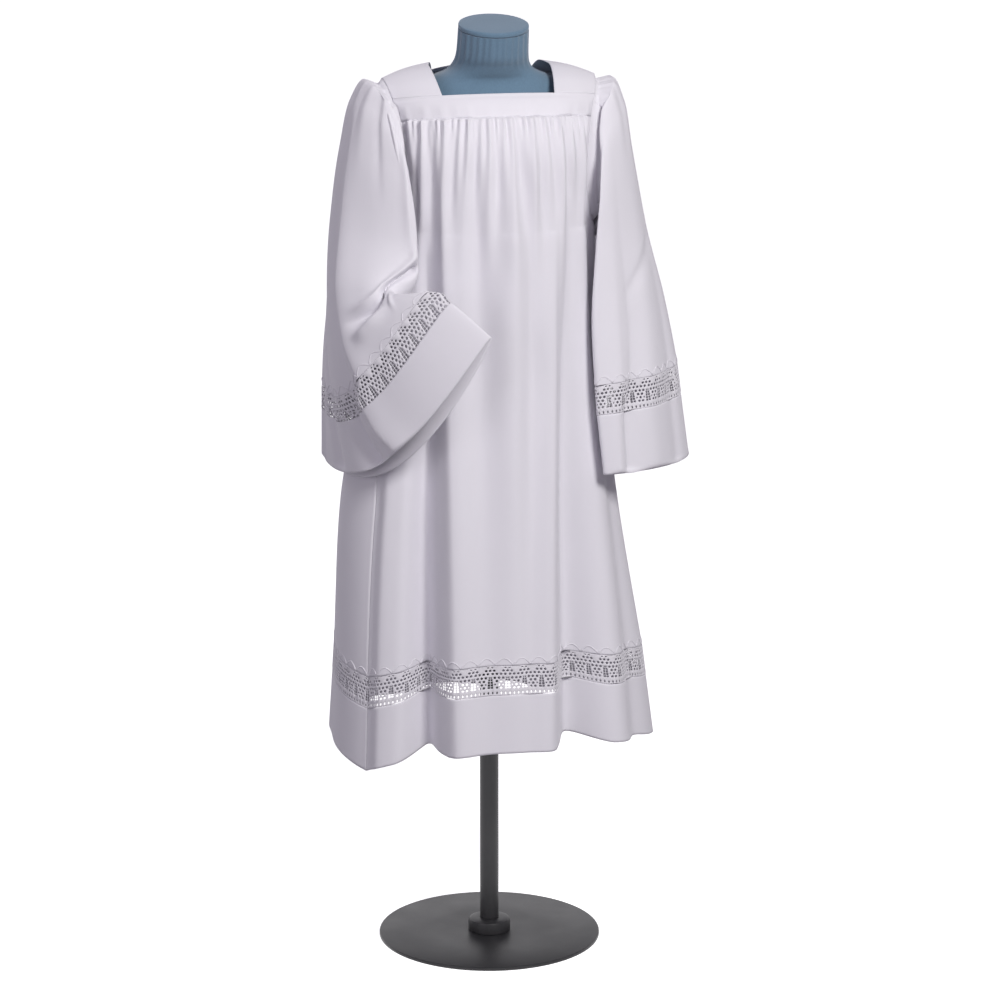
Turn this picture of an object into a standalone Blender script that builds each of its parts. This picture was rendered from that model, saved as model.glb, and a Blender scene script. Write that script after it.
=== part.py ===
"""A surplice worn by a dress form on a floor stand.

Frame: metres, +Z up, the garment's front looks along -Y and the wearer's left is +X.
The origin is on the floor, under the middle of the stand's base.

The cloth is one welded skin, worked out from tables of sections.  The front and the back are
rows of arcs from side seam to side seam, the straps join them over the shoulders, and each
sleeve is a row of loops that starts on the armhole.  The skin is then cut along its seams
into the sewn pieces, and each piece is given the thickness of a wall.
"""

import math

import bpy
import numpy as np

# ---------------------------------------------------------------- driving sizes (metres)
CLOTH = 0.0016  # thickness of a cloth wall
SEAM_GAP = 0.0005  # between two pieces that are sewn together
SEAM_DRAW = SEAM_GAP / 2 * 1.1  # how far each edge is drawn in, with a tenth to spare on curves
LEAST_TURN = 0.3  # an edge point whose two sides pull in opposite ways is left where it is

NECK_CORNER_X = 0.0925  # half the width of the square neckline at its front corners

STRAP_TURN = 54.0  # degrees round the sleeve at which the strap's edge begins

# Steps between grid lines, piece by piece
FRONT_INNER_STEPS = 22  # across the neckline's width
STRAP_CROSS_STEPS = 5  # from the neckline to the armhole
STRAP_ALONG_STEPS = 8  # over the shoulder, front to back
YOKE_STEPS = 2
CHEST_STEPS = 7  # yoke seam to underarm
SKIRT_STEPS = 7  # underarm to lace
LACE_STEPS = 1
HEM_STEPS = 2
SLEEVE_STEPS = 13  # armhole to lace

# Named rows of the body, as values of the row coordinate v
YOKE_TOP, YOKE_SEAM, UNDERARM, LACE_TOP, LACE_END, HEM = 0.0, 1.0, 2.0, 3.0, 4.0, 5.0

# Sections of the body, top to bottom.  Each is an arc of an ellipse about the origin:
# z at the middle, depth (half of the ellipse front to back), how far z falls to the ends,
# half width and end angle on the wearer's right and on the left.
FRONT_ROWS = {
    "v": (0.0, 1.0, 1.33, 1.67, 1.9, 2.0, 2.3, 2.6, 3.0, 4.0, 5.0),
    "z": (1.472, 1.440, 1.380, 1.305, 1.256, 1.240, 1.030, 0.800, 0.541, 0.492, 0.394),
    "depth": (0.100, 0.124, 0.141, 0.150, 0.154, 0.156, 0.167, 0.184, 0.205, 0.210, 0.219),
    "fall": (0.012, 0.010, 0.010, 0.010, 0.006, 0.004, 0.008, 0.022, 0.038, 0.043, 0.052),
    "right_half": (0.194, 0.188, 0.181, 0.172, 0.172, 0.175, 0.205, 0.250, 0.262, 0.264, 0.268),
    "right_end": (60.0, 56.5, 56.0, 63.0, 76.0, 90.0, 70.0, 57.0, 59.0, 59.0, 59.0),
    "left_half": (0.194, 0.188, 0.181, 0.172, 0.172, 0.175, 0.186, 0.216, 0.262, 0.269, 0.283),
    "left_end": (60.0, 56.5, 56.0, 63.0, 76.0, 90.0, 96.0, 98.0, 98.0, 98.0, 98.0),
}
BACK_ROWS = {
    "v": (0.0, 1.0, 1.33, 1.67, 1.9, 2.0, 2.3, 2.6, 3.0, 4.0, 5.0),
    "z": (1.499, 1.415, 1.365, 1.300, 1.256, 1.240, 1.030, 0.800, 0.533, 0.484, 0.385),
    "depth": (0.078, 0.132, 0.143, 0.150, 0.154, 0.156, 0.168, 0.186, 0.208, 0.213, 0.222),
    "fall": (0.038, 0.012, 0.010, 0.010, 0.006, 0.004, 0.008, 0.022, 0.030, 0.035, 0.043),
    "right_half": (0.194, 0.188, 0.181, 0.172, 0.172, 0.175, 0.205, 0.250, 0.262, 0.264, 0.268),
    "right_end": (54.0, 56.5, 58.0, 63.0, 76.0, 90.0, 110.0, 123.0, 121.0, 121.0, 121.0),
    "left_half": (0.194, 0.188, 0.181, 0.172, 0.172, 0.175, 0.186, 0.216, 0.262, 0.269, 0.283),
    "left_end": (54.0, 56.5, 58.0, 63.0, 76.0, 90.0, 84.0, 82.0, 82.0, 82.0, 82.0),
}

# Long folds.  Their place is the distance along the section from its middle, towards the
# wearer's left, at the chest and at the hem; depth is outwards, at the chest, knee and hem.
FOLD_COLUMNS = ("chest", "hem", "chest_width", "hem_width", "chest_depth", "knee_depth", "hem_depth")
FRONT_FOLDS = (
    (-0.156, -0.240, 0.012, 0.022, 0.004, 0.008, 0.010),
    (-0.124, -0.166, 0.011, 0.028, -0.014, -0.040, -0.062),
    (-0.092, -0.092, 0.016, 0.026, 0.005, 0.010, 0.012),
    (-0.046, -0.030, 0.020, 0.040, -0.006, -0.004, 0.000),
    (0.018, 0.010, 0.020, 0.050, 0.006, 0.006, 0.006),
    (0.050, 0.040, 0.014, 0.030, -0.004, -0.003, 0.000),
    (0.084, 0.062, 0.013, 0.022, 0.006, 0.010, 0.012),
    (0.111, 0.126, 0.014, 0.036, -0.012, -0.034, -0.058),
    (0.135, 0.190, 0.014, 0.040, 0.004, 0.008, 0.014),
    (0.165, 0.262, 0.012, 0.026, -0.006, -0.006, -0.012),
)
BACK_FOLDS = (
    (-0.165, -0.300, 0.016, 0.034, 0.004, 0.008, 0.014),
    (-0.130, -0.235, 0.014, 0.026, -0.008, -0.016, -0.030),
    (-0.100, -0.180, 0.014, 0.034, 0.005, 0.010, 0.014),
    (-0.066, -0.110, 0.014, 0.026, -0.009, -0.024, -0.044),
    (-0.030, -0.045, 0.018, 0.036, 0.006, 0.010, 0.012),
    (0.002, 0.018, 0.012, 0.022, -0.008, -0.014, -0.026),
    (0.036, 0.066, 0.016, 0.034, 0.006, 0.010, 0.013),
    (0.070, 0.128, 0.014, 0.026, -0.010, -0.026, -0.048),
    (0.104, 0.186, 0.016, 0.036, 0.005, 0.010, 0.014),
    (0.140, 0.246, 0.014, 0.026, -0.007, -0.014, -0.024),
)

# Gathers under the yoke seam: place along the seam, outward depth, and how far down they run
GATHER_COLUMNS = ("place", "depth", "reach")
FRONT_GATHERS = (
    (-0.142, 0.0030, 0.10),
    (-0.118, 0.0045, 0.16),
    (-0.100, 0.0032, 0.08),
    (-0.078, 0.0046, 0.18),
    (-0.060, 0.0030, 0.09),
    (-0.041, 0.0042, 0.14),
    (-0.020, 0.0034, 0.10),
    (-0.002, 0.0036, 0.12),
    (0.018, 0.0046, 0.20),
    (0.038, 0.0030, 0.08),
    (0.058, 0.0042, 0.13),
    (0.078, 0.0034, 0.10),
    (0.098, 0.0046, 0.19),
    (0.120, 0.0034, 0.12),
    (0.140, 0.0040, 0.14),
)
BACK_GATHERS = tuple((-place, depth, reach) for place, depth, reach in FRONT_GATHERS)
GATHER_WIDTH = 0.0062  # half width of one gather at the seam
GATHER_START = 0.004  # a gather opens over this length below the seam
GATHER_FULL = 0.2  # the share of its reach over which a gather keeps its depth
GATHER_SPREAD = 1.2  # how much wider it is at the end of its reach
GATHER_DRIFT = 0.2  # how far it moves outwards on the way to the hem, as a share of its place

EDGE_EASE = 0.86  # folds fade out between this share of the half width and the side seam
FOLD_START = 0.16  # length below the yoke over which the long folds open
FOLD_STOPS = (0.0, 0.30, 0.62, 1.0)  # shares of the way down: yoke, chest, knee and hem
HEM_LIFT = 0.20  # how far the hem rises in a fold that goes in, as a share of its depth
STRAP_CROWN = 0.004  # how far the strap rises between its edges
HEAD_EASE = 0.16  # the share of the sleeve over which its loops leave the armhole
ROW_POWER = 1.35  # crowds the sleeve's rows towards its head

# The strap over the shoulder, front to back: the neckline's edge and the armhole's edge
STRAP_ROWS = {
    "t": (0.0, 0.28, 0.56, 0.80, 1.0),
    "inner_x": (0.0925, 0.0975, 0.1000, 0.0985, 0.0940),
    "inner_y": (-0.0879, -0.0480, -0.0020, 0.0370, 0.0680),
    "inner_z": (1.4690, 1.4935, 1.5060, 1.5040, 1.4860),
    "outer_x": (0.1680, 0.1735, 0.1765, 0.1730, 0.1569),
    "outer_y": (-0.0500, -0.0250, 0.0020, 0.0270, 0.0458),
    "outer_z": (1.4600, 1.4790, 1.4870, 1.4800, 1.4610),
}

# Sleeve loops, armhole to mouth, for the arm that hangs: the front, outer, rear and inner
# points of each loop.  w is 0 at the armhole, 1 at the lace, 2 below it and 3 at the mouth.
SLEEVE_LACE, SLEEVE_LACE_END, SLEEVE_MOUTH = 1.0, 2.0, 3.0
HANGING_LOOPS = {
    "w": (0.0, 0.07, 0.16, 0.28, 0.45, 0.70, 1.0, 2.0, 3.0),
    "front_x": (0.153, 0.160, 0.164, 0.163, 0.158, 0.153, 0.157, 0.160, 0.170),
    "front_y": (-0.078, -0.096, -0.106, -0.112, -0.118, -0.128, -0.142, -0.146, -0.152),
    "front_z": (1.366, 1.372, 1.345, 1.295, 1.210, 1.105, 0.992, 0.943, 0.843),
    "outer_x": (0.1765, 0.207, 0.228, 0.241, 0.263, 0.296, 0.320, 0.327, 0.342),
    "outer_y": (0.002, 0.002, 0.000, -0.004, -0.006, -0.008, -0.010, -0.010, -0.010),
    "outer_z": (1.485, 1.487, 1.446, 1.365, 1.245, 1.115, 0.996, 0.945, 0.838),
    "rear_x": (0.156, 0.172, 0.182, 0.190, 0.202, 0.222, 0.246, 0.252, 0.264),
    "rear_y": (0.083, 0.100, 0.110, 0.118, 0.126, 0.134, 0.142, 0.144, 0.148),
    "rear_z": (1.366, 1.375, 1.350, 1.300, 1.215, 1.110, 0.995, 0.946, 0.846),
    "inner_x": (0.175, 0.192, 0.200, 0.204, 0.210, 0.220, 0.234, 0.240, 0.256),
    "inner_y": (0.000, 0.000, 0.002, 0.004, 0.008, 0.012, 0.016, 0.016, 0.016),
    "inner_z": (1.236, 1.222, 1.200, 1.175, 1.125, 1.060, 0.980, 0.932, 0.834),
}
# and for the arm that is bent across the chest, on the wearer's right
BENT_LOOPS = {
    "w": (0.0, 0.07, 0.16, 0.28, 0.45, 0.62, 0.80, 1.0, 2.0, 3.0),
    "front_x": (-0.153, -0.150, -0.147, -0.143, -0.141, -0.180, -0.172, -0.136, -0.104, -0.045),
    "front_y": (-0.078, -0.100, -0.112, -0.122, -0.132, -0.150, -0.190, -0.222, -0.240, -0.272),
    "front_z": (1.366, 1.372, 1.345, 1.290, 1.200, 1.156, 1.164, 1.174, 1.158, 1.106),
    "outer_x": (-0.1765, -0.203, -0.226, -0.241, -0.256, -0.268, -0.266, -0.252, -0.236, -0.200),
    "outer_y": (0.002, -0.004, -0.010, -0.020, -0.040, -0.070, -0.105, -0.140, -0.158, -0.190),
    "outer_z": (1.485, 1.492, 1.456, 1.380, 1.260, 1.148, 1.065, 1.005, 0.970, 0.896),
    "rear_x": (-0.156, -0.176, -0.192, -0.208, -0.228, -0.245, -0.257, -0.264, -0.267, -0.272),
    "rear_y": (0.083, 0.100, 0.108, 0.112, 0.108, 0.096, 0.076, 0.050, 0.044, 0.030),
    "rear_z": (1.366, 1.375, 1.348, 1.295, 1.200, 1.110, 1.035, 0.968, 0.930, 0.846),
    "inner_x": (-0.175, -0.192, -0.200, -0.206, -0.214, -0.224, -0.226, -0.210, -0.199, -0.174),
    "inner_y": (0.000, 0.000, 0.000, -0.004, -0.014, -0.040, -0.084, -0.130, -0.146, -0.176),
    "inner_z": (1.236, 1.222, 1.198, 1.170, 1.120, 1.060, 1.006, 0.964, 0.942, 0.884),
}
# Pleats of the gathered sleeve head: turn round the sleeve in degrees, outward depth
HEAD_PLEATS = (
    (38.0, 0.004),
    (58.0, 0.007),
    (74.0, 0.008),
    (90.0, 0.007),
    (106.0, 0.008),
    (122.0, 0.007),
    (142.0, 0.004),
)
PLEAT_HALF_TURN = 7.0
PLEAT_HOLLOW_TURN, PLEAT_HOLLOW = 18.0, 0.3  # the wider, shallower hollow that each ridge rises from
PLEAT_START, PLEAT_REACH = 0.03, 0.30  # as shares of the way from the armhole to the lace

# The dress form: sections from the hips up to the neck
FORM_ROWS = {
    "z": (0.800, 0.806, 0.860, 0.940, 1.040, 1.140, 1.240, 1.330)
    + (1.400, 1.440, 1.462, 1.478, 1.490, 1.500, 1.512, 1.530),
    "half": (0.118, 0.128, 0.146, 0.148, 0.136, 0.137, 0.144, 0.146)
    + (0.146, 0.142, 0.134, 0.118, 0.095, 0.074, 0.063, 0.0580),
    "depth": (0.086, 0.096, 0.112, 0.112, 0.102, 0.108, 0.120, 0.120)
    + (0.110, 0.095, 0.084, 0.073, 0.065, 0.062, 0.060, 0.0575),
    "ahead": (0.002, 0.002, 0.002, 0.002, 0.004, 0.006, 0.008, 0.006)
    + (0.001, -0.003, -0.004, -0.002, 0.004, 0.012, 0.020, 0.032),
}
FORM_SIDES = 36
NECK_RADIUS = 0.0575
NECK_TILT = 10.0  # degrees that the neck's top leans forwards
NECK_TOP_Z = 1.5790
NECK_TOP_Y = -0.045
CAP_THICK = 0.008

POLE_RADIUS = 0.016
SOCKET_RADIUS = 0.030
SOCKET_LENGTH = 0.040
BASE_RADIUS = 0.190
BASE_THICK = 0.006
BASE_BEVEL = 0.002
FLANGE_RADIUS = 0.036
FLANGE_HEIGHT = 0.022
CLEAR = 0.0003  # between two hard pieces that meet

CLOTH_COLOUR = (0.86, 0.85, 0.89, 1.0)
LACE_COLOUR = (0.84, 0.83, 0.87, 1.0)
FORM_COLOUR = (0.15, 0.24, 0.33, 1.0)
STEEL_COLOUR = (0.05, 0.05, 0.055, 1.0)


# ---------------------------------------------------------------- curves
def smooth_through(knots, values, at):
    """A smooth curve through the values, which never overshoots between two of them."""
    knots, values, at = (np.asarray(x, float) for x in (knots, values, at))
    step = np.diff(knots)
    slope = np.diff(values) / step
    tangent = np.empty_like(values)
    tangent[0], tangent[-1] = slope[0], slope[-1]
    inner = (slope[:-1] * step[1:] + slope[1:] * step[:-1]) / (step[1:] + step[:-1])
    most = 3.0 * np.minimum(np.abs(slope[:-1]), np.abs(slope[1:]))
    tangent[1:-1] = np.where(slope[:-1] * slope[1:] > 0, np.clip(inner, -most, most), 0.0)
    i = np.clip(np.searchsorted(knots, at, side="right") - 1, 0, len(step) - 1)
    h = step[i]
    t = np.clip((at - knots[i]) / h, 0.0, 1.0)
    return (
        (2 * t**3 - 3 * t**2 + 1) * values[i]
        + (t**3 - 2 * t**2 + t) * h * tangent[i]
        + (3 * t**2 - 2 * t**3) * values[i + 1]
        + (t**3 - t**2) * h * tangent[i + 1]
    )


def column(table, name, at):
    """One named column of a table of sections, read smoothly at other places."""
    key = next(iter(table))
    return smooth_through(table[key], table[name], at)


def ease(t):
    """0 to 1, level at both ends."""
    t = np.clip(t, 0.0, 1.0)
    return t * t * (3 - 2 * t)


def bump(distance, half_width):
    """A soft ridge of height 1, whose foot is twice the half width away."""
    return np.exp(-0.5 * (distance / half_width) ** 2 * 1.6)


# ---------------------------------------------------------------- body
def body_columns(steps_inner, steps_outer):
    """The column coordinate u, -1 to 1, with a line on each corner of the neckline."""
    half = float(column(FRONT_ROWS, "left_half", [YOKE_TOP])[0])
    end = float(column(FRONT_ROWS, "left_end", [YOKE_TOP])[0])
    corner = math.degrees(math.asin(NECK_CORNER_X / half)) / end
    inner = np.linspace(-corner, corner, steps_inner + 1)
    outer = np.linspace(corner, 1.0, steps_outer + 1)[1:]
    return np.concatenate([-outer[::-1], inner, outer])


def body_rows(yoke, chest, skirt, lace, hem):
    """The row coordinate v with a line on each seam."""
    parts = (
        (YOKE_TOP, YOKE_SEAM, yoke),
        (YOKE_SEAM, UNDERARM, chest),
        (UNDERARM, LACE_TOP, skirt),
        (LACE_TOP, LACE_END, lace),
        (LACE_END, HEM, hem),
    )
    return np.concatenate([[YOKE_TOP]] + [np.linspace(a, b, n + 1)[1:] for a, b, n in parts])


def fold_height(folds, gathers, place, below_seam, v):
    """How far the cloth stands out at a distance along the section and below the yoke."""
    depth = np.zeros_like(place)
    down = np.clip((v - YOKE_SEAM) / (HEM - YOKE_SEAM), 0.0, 1.0)
    drop = ease(below_seam / FOLD_START)
    for row in folds:
        fold = dict(zip(FOLD_COLUMNS, row))
        centre = fold["chest"] + (fold["hem"] - fold["chest"]) * below_share(v)
        width = fold["chest_width"] + (fold["hem_width"] - fold["chest_width"]) * below_share(v)
        high = smooth_through(
            FOLD_STOPS,
            (0.0, fold["chest_depth"], fold["knee_depth"], fold["hem_depth"]),
            below_share(v),
        )
        depth += drop * high * bump(place - centre, width)
    for row in gathers:
        gather = dict(zip(GATHER_COLUMNS, row))
        opening = ease(below_seam / GATHER_START)
        run = below_seam / gather["reach"]
        fading = 1.0 - ease((run - GATHER_FULL) / (1.0 - GATHER_FULL))
        spread = 1.0 + GATHER_SPREAD * np.clip(run, 0.0, 1.0)
        high = gather["depth"] * opening * fading
        centre = gather["place"] * (1 + GATHER_DRIFT * down)
        depth += high * bump(place - centre, GATHER_WIDTH * spread)
    return depth


def below_share(v):
    """0 at the yoke seam and 1 at the hem, in proportion to the length of cloth."""
    return smooth_through((0.0, 1.0, 2.0, 3.0, 4.0, 5.0), (0.0, 0.0, 0.19, 0.86, 0.905, 1.0), v)


def body_surface(rows, folds, gathers, towards, u, v):
    """Points of the front (towards -1) or back (towards +1), for grids of u and v."""
    z_mid, depth, fall = (column(rows, name, v) for name in ("z", "depth", "fall"))
    half = np.where(u < 0, column(rows, "right_half", v), column(rows, "left_half", v))
    end = np.where(u < 0, column(rows, "right_end", v), column(rows, "left_end", v))
    turn = np.radians(end) * u
    x, y = half * np.sin(turn), towards * depth * np.cos(turn)
    out_x, out_y = np.sin(turn) / half, towards * np.cos(turn) / depth
    length = np.hypot(out_x, out_y)
    place = np.cumsum(
        np.hypot(np.diff(x, axis=1, prepend=x[:, :1]), np.diff(y, axis=1, prepend=y[:, :1])), axis=1
    )
    middle = np.array([np.interp(0.0, u[i], place[i]) for i in range(len(u))])
    place = place - middle[:, None]
    seam_z = float(column(rows, "z", [YOKE_SEAM])[0])
    high = fold_height(folds, gathers, place, np.clip(seam_z - z_mid, 0.0, None), v)
    high = high * (1.0 - ease((np.abs(u) - EDGE_EASE) / (1.0 - EDGE_EASE)))
    lift = HEM_LIFT * np.clip(-high, 0.0, None) * ease((v - UNDERARM) / (HEM - UNDERARM))
    return np.stack(
        [x + high * out_x / length, y + high * out_y / length, z_mid - fall * u**2 + lift], axis=-1
    )


# ---------------------------------------------------------------- straps and sleeves
def strap_surface(sign, front_edge, back_edge, steps_along):
    """The strap's points from the front yoke's edge to the back yoke's edge, both given."""
    t = np.linspace(0.0, 1.0, steps_along + 1)
    share = np.linspace(0.0, 1.0, front_edge.shape[0])
    rows = []
    for along in t:
        inner, outer = (
            np.array(
                [
                    sign * float(column(STRAP_ROWS, side + "_x", [along])[0]),
                    float(column(STRAP_ROWS, side + "_y", [along])[0]),
                    float(column(STRAP_ROWS, side + "_z", [along])[0]),
                ]
            )
            for side in ("inner", "outer")
        )
        row = inner + (outer - inner) * share[:, None]
        row[:, 2] += STRAP_CROWN * np.sin(math.pi * share) * math.sin(math.pi * along)
        rows.append(row)
    rows = np.array(rows)
    first, last = front_edge - rows[0], back_edge - rows[-1]
    fade = t[:, None, None]
    return rows + first * (1 - ease(fade / 0.5)) + last * ease((fade - 0.5) / 0.5)


def guide(table, name, w):
    return np.stack([column(table, name + axis, w) for axis in ("_x", "_y", "_z")], axis=-1)


def sleeve_surface(table, armhole, turns, w):
    """Loops of the sleeve: w down the sleeve, turns in degrees round it, from the armhole's points."""
    front, outer, rear, inner = (guide(table, n, w)[:, None] for n in ("front", "outer", "rear", "inner"))
    middle = (front + outer + rear + inner) / 4
    a = np.radians(turns)[None, :, None]
    loops = (
        middle
        + (front - rear) / 2 * np.cos(a)
        + (outer - inner) / 2 * np.sin(a)
        + (front + rear - outer - inner) / 4 * np.cos(2 * a)
    )
    loops += (armhole[None] - loops[:1]) * (1 - ease(w / HEAD_EASE))[:, None, None]
    return loops


def pleated(points, turns, w):
    """Raises the pleats of the sleeve head along the surface's own normals."""
    high = np.zeros(points.shape[:2])
    rise = ease(w / PLEAT_START) * (1 - ease((w - PLEAT_START) / PLEAT_REACH))
    for turn, depth in HEAD_PLEATS:
        ridge = bump(turns - turn, PLEAT_HALF_TURN) - PLEAT_HOLLOW * bump(turns - turn, PLEAT_HOLLOW_TURN)
        high += depth * rise[:, None] * ridge[None, :]
    return points + grid_normals(points) * high[..., None]


def grid_normals(points):
    """Outward normals of the sleeve's loops, which close on themselves."""
    down = np.gradient(points, axis=0)
    wide = np.concatenate([points[:, -1:], points, points[:, :1]], axis=1)
    around = (wide[:, 2:] - wide[:, :-2]) / 2
    normal = np.cross(down, around)
    normal /= np.maximum(np.linalg.norm(normal, axis=-1, keepdims=True), 1e-9)
    centre = points.mean(axis=1, keepdims=True)
    sign = np.sign(((points - centre) * normal).sum(axis=(1, 2)))
    return normal * np.sign(np.median(sign))


# ---------------------------------------------------------------- the welded skin
class Skin:
    """Points and named faces of the whole garment, welded where its grids share an edge."""

    def __init__(self):
        self.points = []
        self.index = {}
        self.faces = []
        self.names = []

    def point(self, p):
        key = tuple(int(round(x * 1e6)) for x in p)
        if key not in self.index:
            self.index[key] = len(self.points)
            self.points.append(np.asarray(p, float))
        return self.index[key]

    def grid(self, points, name_of_row, closed=False, flip=False):
        ids = [[self.point(p) for p in row] for row in points]
        columns = len(ids[0])
        for i in range(len(ids) - 1):
            for j in range(columns if closed else columns - 1):
                k = (j + 1) % columns
                face = [ids[i][j], ids[i][k], ids[i + 1][k], ids[i + 1][j]]
                if len(set(face)) < 3:
                    continue
                self.faces.append(face[::-1] if flip else face)
                self.names.append(name_of_row(i))


def band_names(v, names):
    """The name of the piece that holds each row of faces."""
    middles = (v[:-1] + v[1:]) / 2
    return [next(name for end, name in names if middle < end) for middle in middles]


def body_names(side, v):
    """The piece that each row of the front's or the back's faces belongs to."""
    ends = (
        (YOKE_SEAM, "yoke_" + side),
        (LACE_TOP, side + "_panel"),
        (LACE_END, "hem_lace_" + side),
        (HEM, "hem_" + side),
    )
    return band_names(v, ends)


def garment_skin():
    """The front, the back, the straps and the sleeves, welded where they meet."""
    skin = Skin()
    u = body_columns(FRONT_INNER_STEPS, STRAP_CROSS_STEPS)
    v = body_rows(YOKE_STEPS, CHEST_STEPS, SKIRT_STEPS, LACE_STEPS, HEM_STEPS)
    grid_v, grid_u = np.meshgrid(v, u, indexing="ij")
    front = body_surface(FRONT_ROWS, FRONT_FOLDS, FRONT_GATHERS, -1, grid_u, grid_v)
    back = body_surface(BACK_ROWS, BACK_FOLDS, BACK_GATHERS, 1, grid_u, grid_v)
    joined = v >= UNDERARM - 1e-9
    for edge in (0, -1):
        back[joined, edge] = front[joined, edge]
    front_names, back_names = body_names("front", v), body_names("back", v)
    skin.grid(front, lambda i: front_names[i], flip=True)
    skin.grid(back, lambda i: back_names[i])
    n = STRAP_CROSS_STEPS
    w = np.concatenate(
        [
            np.linspace(0.0, 1.0, SLEEVE_STEPS + 1) ** ROW_POWER,
            np.linspace(SLEEVE_LACE, SLEEVE_LACE_END, LACE_STEPS + 1)[1:],
            np.linspace(SLEEVE_LACE_END, SLEEVE_MOUTH, HEM_STEPS + 1)[1:],
        ]
    )
    for sign, side, table in ((1, "left", HANGING_LOOPS), (-1, "right", BENT_LOOPS)):
        edge = -1 if sign > 0 else 0
        inner_first = slice(len(u) - 1 - n, len(u)) if sign > 0 else slice(n, None, -1)
        strap = strap_surface(sign, front[0, inner_first], back[0, inner_first], STRAP_ALONG_STEPS)
        skin.grid(strap, lambda i: "shoulder_" + side, flip=sign < 0)
        open_rows = np.flatnonzero(v <= UNDERARM + 1e-9)
        up_front = front[open_rows[::-1], edge]
        down_back = back[open_rows, edge]
        armhole = np.concatenate([up_front, strap[1:-1, -1], down_back[:-1]])
        turns = np.concatenate(
            [
                np.linspace(-90.0, STRAP_TURN, len(up_front)),
                np.linspace(STRAP_TURN, 180.0 - STRAP_TURN, len(strap))[1:-1],
                np.linspace(180.0 - STRAP_TURN, 270.0, len(down_back))[:-1],
            ]
        )
        sleeve = pleated(sleeve_surface(table, armhole, turns, w), turns, w)
        sleeve[0] = armhole
        ends = (
            (SLEEVE_LACE, "sleeve_" + side),
            (SLEEVE_LACE_END, "cuff_lace_" + side),
            (SLEEVE_MOUTH, "cuff_" + side),
        )
        names = band_names(w, ends)
        skin.grid(sleeve, lambda i: names[i], closed=True, flip=sign > 0)
    return skin


def skin_normals(points, faces):
    """The outward normal at each point, shared by all the pieces that meet there."""
    normals = np.zeros_like(points)
    for face in faces:
        ring = points[face]
        for i in range(len(face)):
            a, b = ring[i - 1] - ring[i], ring[(i + 1) % len(face)] - ring[i]
            cross = np.cross(b, a)
            size = np.linalg.norm(cross)
            if size > 1e-14:
                angle = math.atan2(size, float(a @ b))
                normals[face[i]] += cross / size * angle
    return normals / np.linalg.norm(normals, axis=1, keepdims=True)


def cut_piece(points, normals, faces):
    """The outer points of one piece, drawn in from its seams, with the points and faces it uses."""
    used = sorted({i for face in faces for i in face})
    local = {i: k for k, i in enumerate(used)}
    faces = [[local[i] for i in face] for face in faces]
    outer, normal = points[used].copy(), normals[used]
    edges = {}
    for face in faces:
        for i, a in enumerate(face):
            b = face[(i + 1) % len(face)]
            edges[(a, b)] = edges.get((a, b), 0) + 1
    rim = [(a, b) for a, b in edges if (b, a) not in edges]
    inwards = np.zeros_like(outer)
    for a, b in rim:
        along = outer[b] - outer[a]
        across = np.cross(normal[a] + normal[b], along)
        across /= np.linalg.norm(across)
        inwards[a] += across
        inwards[b] += across
    size = np.linalg.norm(inwards, axis=1, keepdims=True)
    away = np.where(size > LEAST_TURN, inwards / np.maximum(size, 1e-9), 0.0)
    return outer + away * SEAM_DRAW, normal, faces, rim


def rim_wall(a, b, count):
    """The wall under one edge as two triangles, cut the same way on both sides of a seam."""
    if a < b:
        return [[b, a, b + count], [a, a + count, b + count]]
    return [[b, a, a + count], [b, a + count, b + count]]


def halved(points, faces):
    """Each four-sided face cut along its shorter diagonal, so that both skins of a wall fold alike."""
    halves = []
    for face in faces:
        if len(set(face)) < 4:
            halves.append(list(dict.fromkeys(face)))
            continue
        a, b, c, d = face
        if np.linalg.norm(points[a] - points[c]) <= np.linalg.norm(points[b] - points[d]):
            halves += [[a, b, c], [a, c, d]]
        else:
            halves += [[a, b, d], [b, c, d]]
    return halves


def wall(name, points, normals, faces, material):
    """One sewn piece as a closed wall, from its outer face to one cloth thickness inside it."""
    outer, normal, faces, rim = cut_piece(points, normals, faces)
    faces = halved(outer, faces)
    count = len(outer)
    inner = outer - normal * CLOTH
    sides = [side for a, b in rim for side in rim_wall(a, b, count)]
    all_faces = faces + [[i + count for i in face[::-1]] for face in faces] + sides
    return mesh_object(name, np.concatenate([outer, inner]), all_faces, material)


# ---------------------------------------------------------------- Blender objects
def make_material(name, colour, roughness, metallic=0.0):
    material = bpy.data.materials.new(name)
    material.use_nodes = True
    shader = material.node_tree.nodes["Principled BSDF"]
    shader.inputs["Base Color"].default_value = colour
    shader.inputs["Roughness"].default_value = roughness
    shader.inputs["Metallic"].default_value = metallic
    return material


def mesh_object(name, points, faces, material, smooth=True):
    mesh = bpy.data.meshes.new(name)
    mesh.from_pydata([tuple(p) for p in points], [], [tuple(f) for f in faces])
    mesh.validate()
    if smooth:
        mesh.shade_smooth()
        mesh.set_sharp_from_angle(angle=math.radians(40))
    mesh.materials.append(material)
    made = bpy.data.objects.new(name, mesh)
    bpy.context.scene.collection.objects.link(made)
    return made


def turned(name, profile, sides, material, centre=(0.0, 0.0)):
    """A closed solid turned about an upright axis; the profile is radius and height, top to bottom."""
    angles = [2 * math.pi * k / sides for k in range(sides)]
    points = [
        (centre[0] + r * math.cos(a), centre[1] + r * math.sin(a), z) for r, z in profile for a in angles
    ]
    last = (len(profile) - 1) * sides
    faces = [list(range(sides))]
    for ring in range(len(profile) - 1):
        for k in range(sides):
            a, b = ring * sides + k, ring * sides + (k + 1) % sides
            faces.append([a, a + sides, b + sides, b])
    faces.append([last + k for k in reversed(range(sides))])
    return mesh_object(name, points, faces, material)


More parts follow.
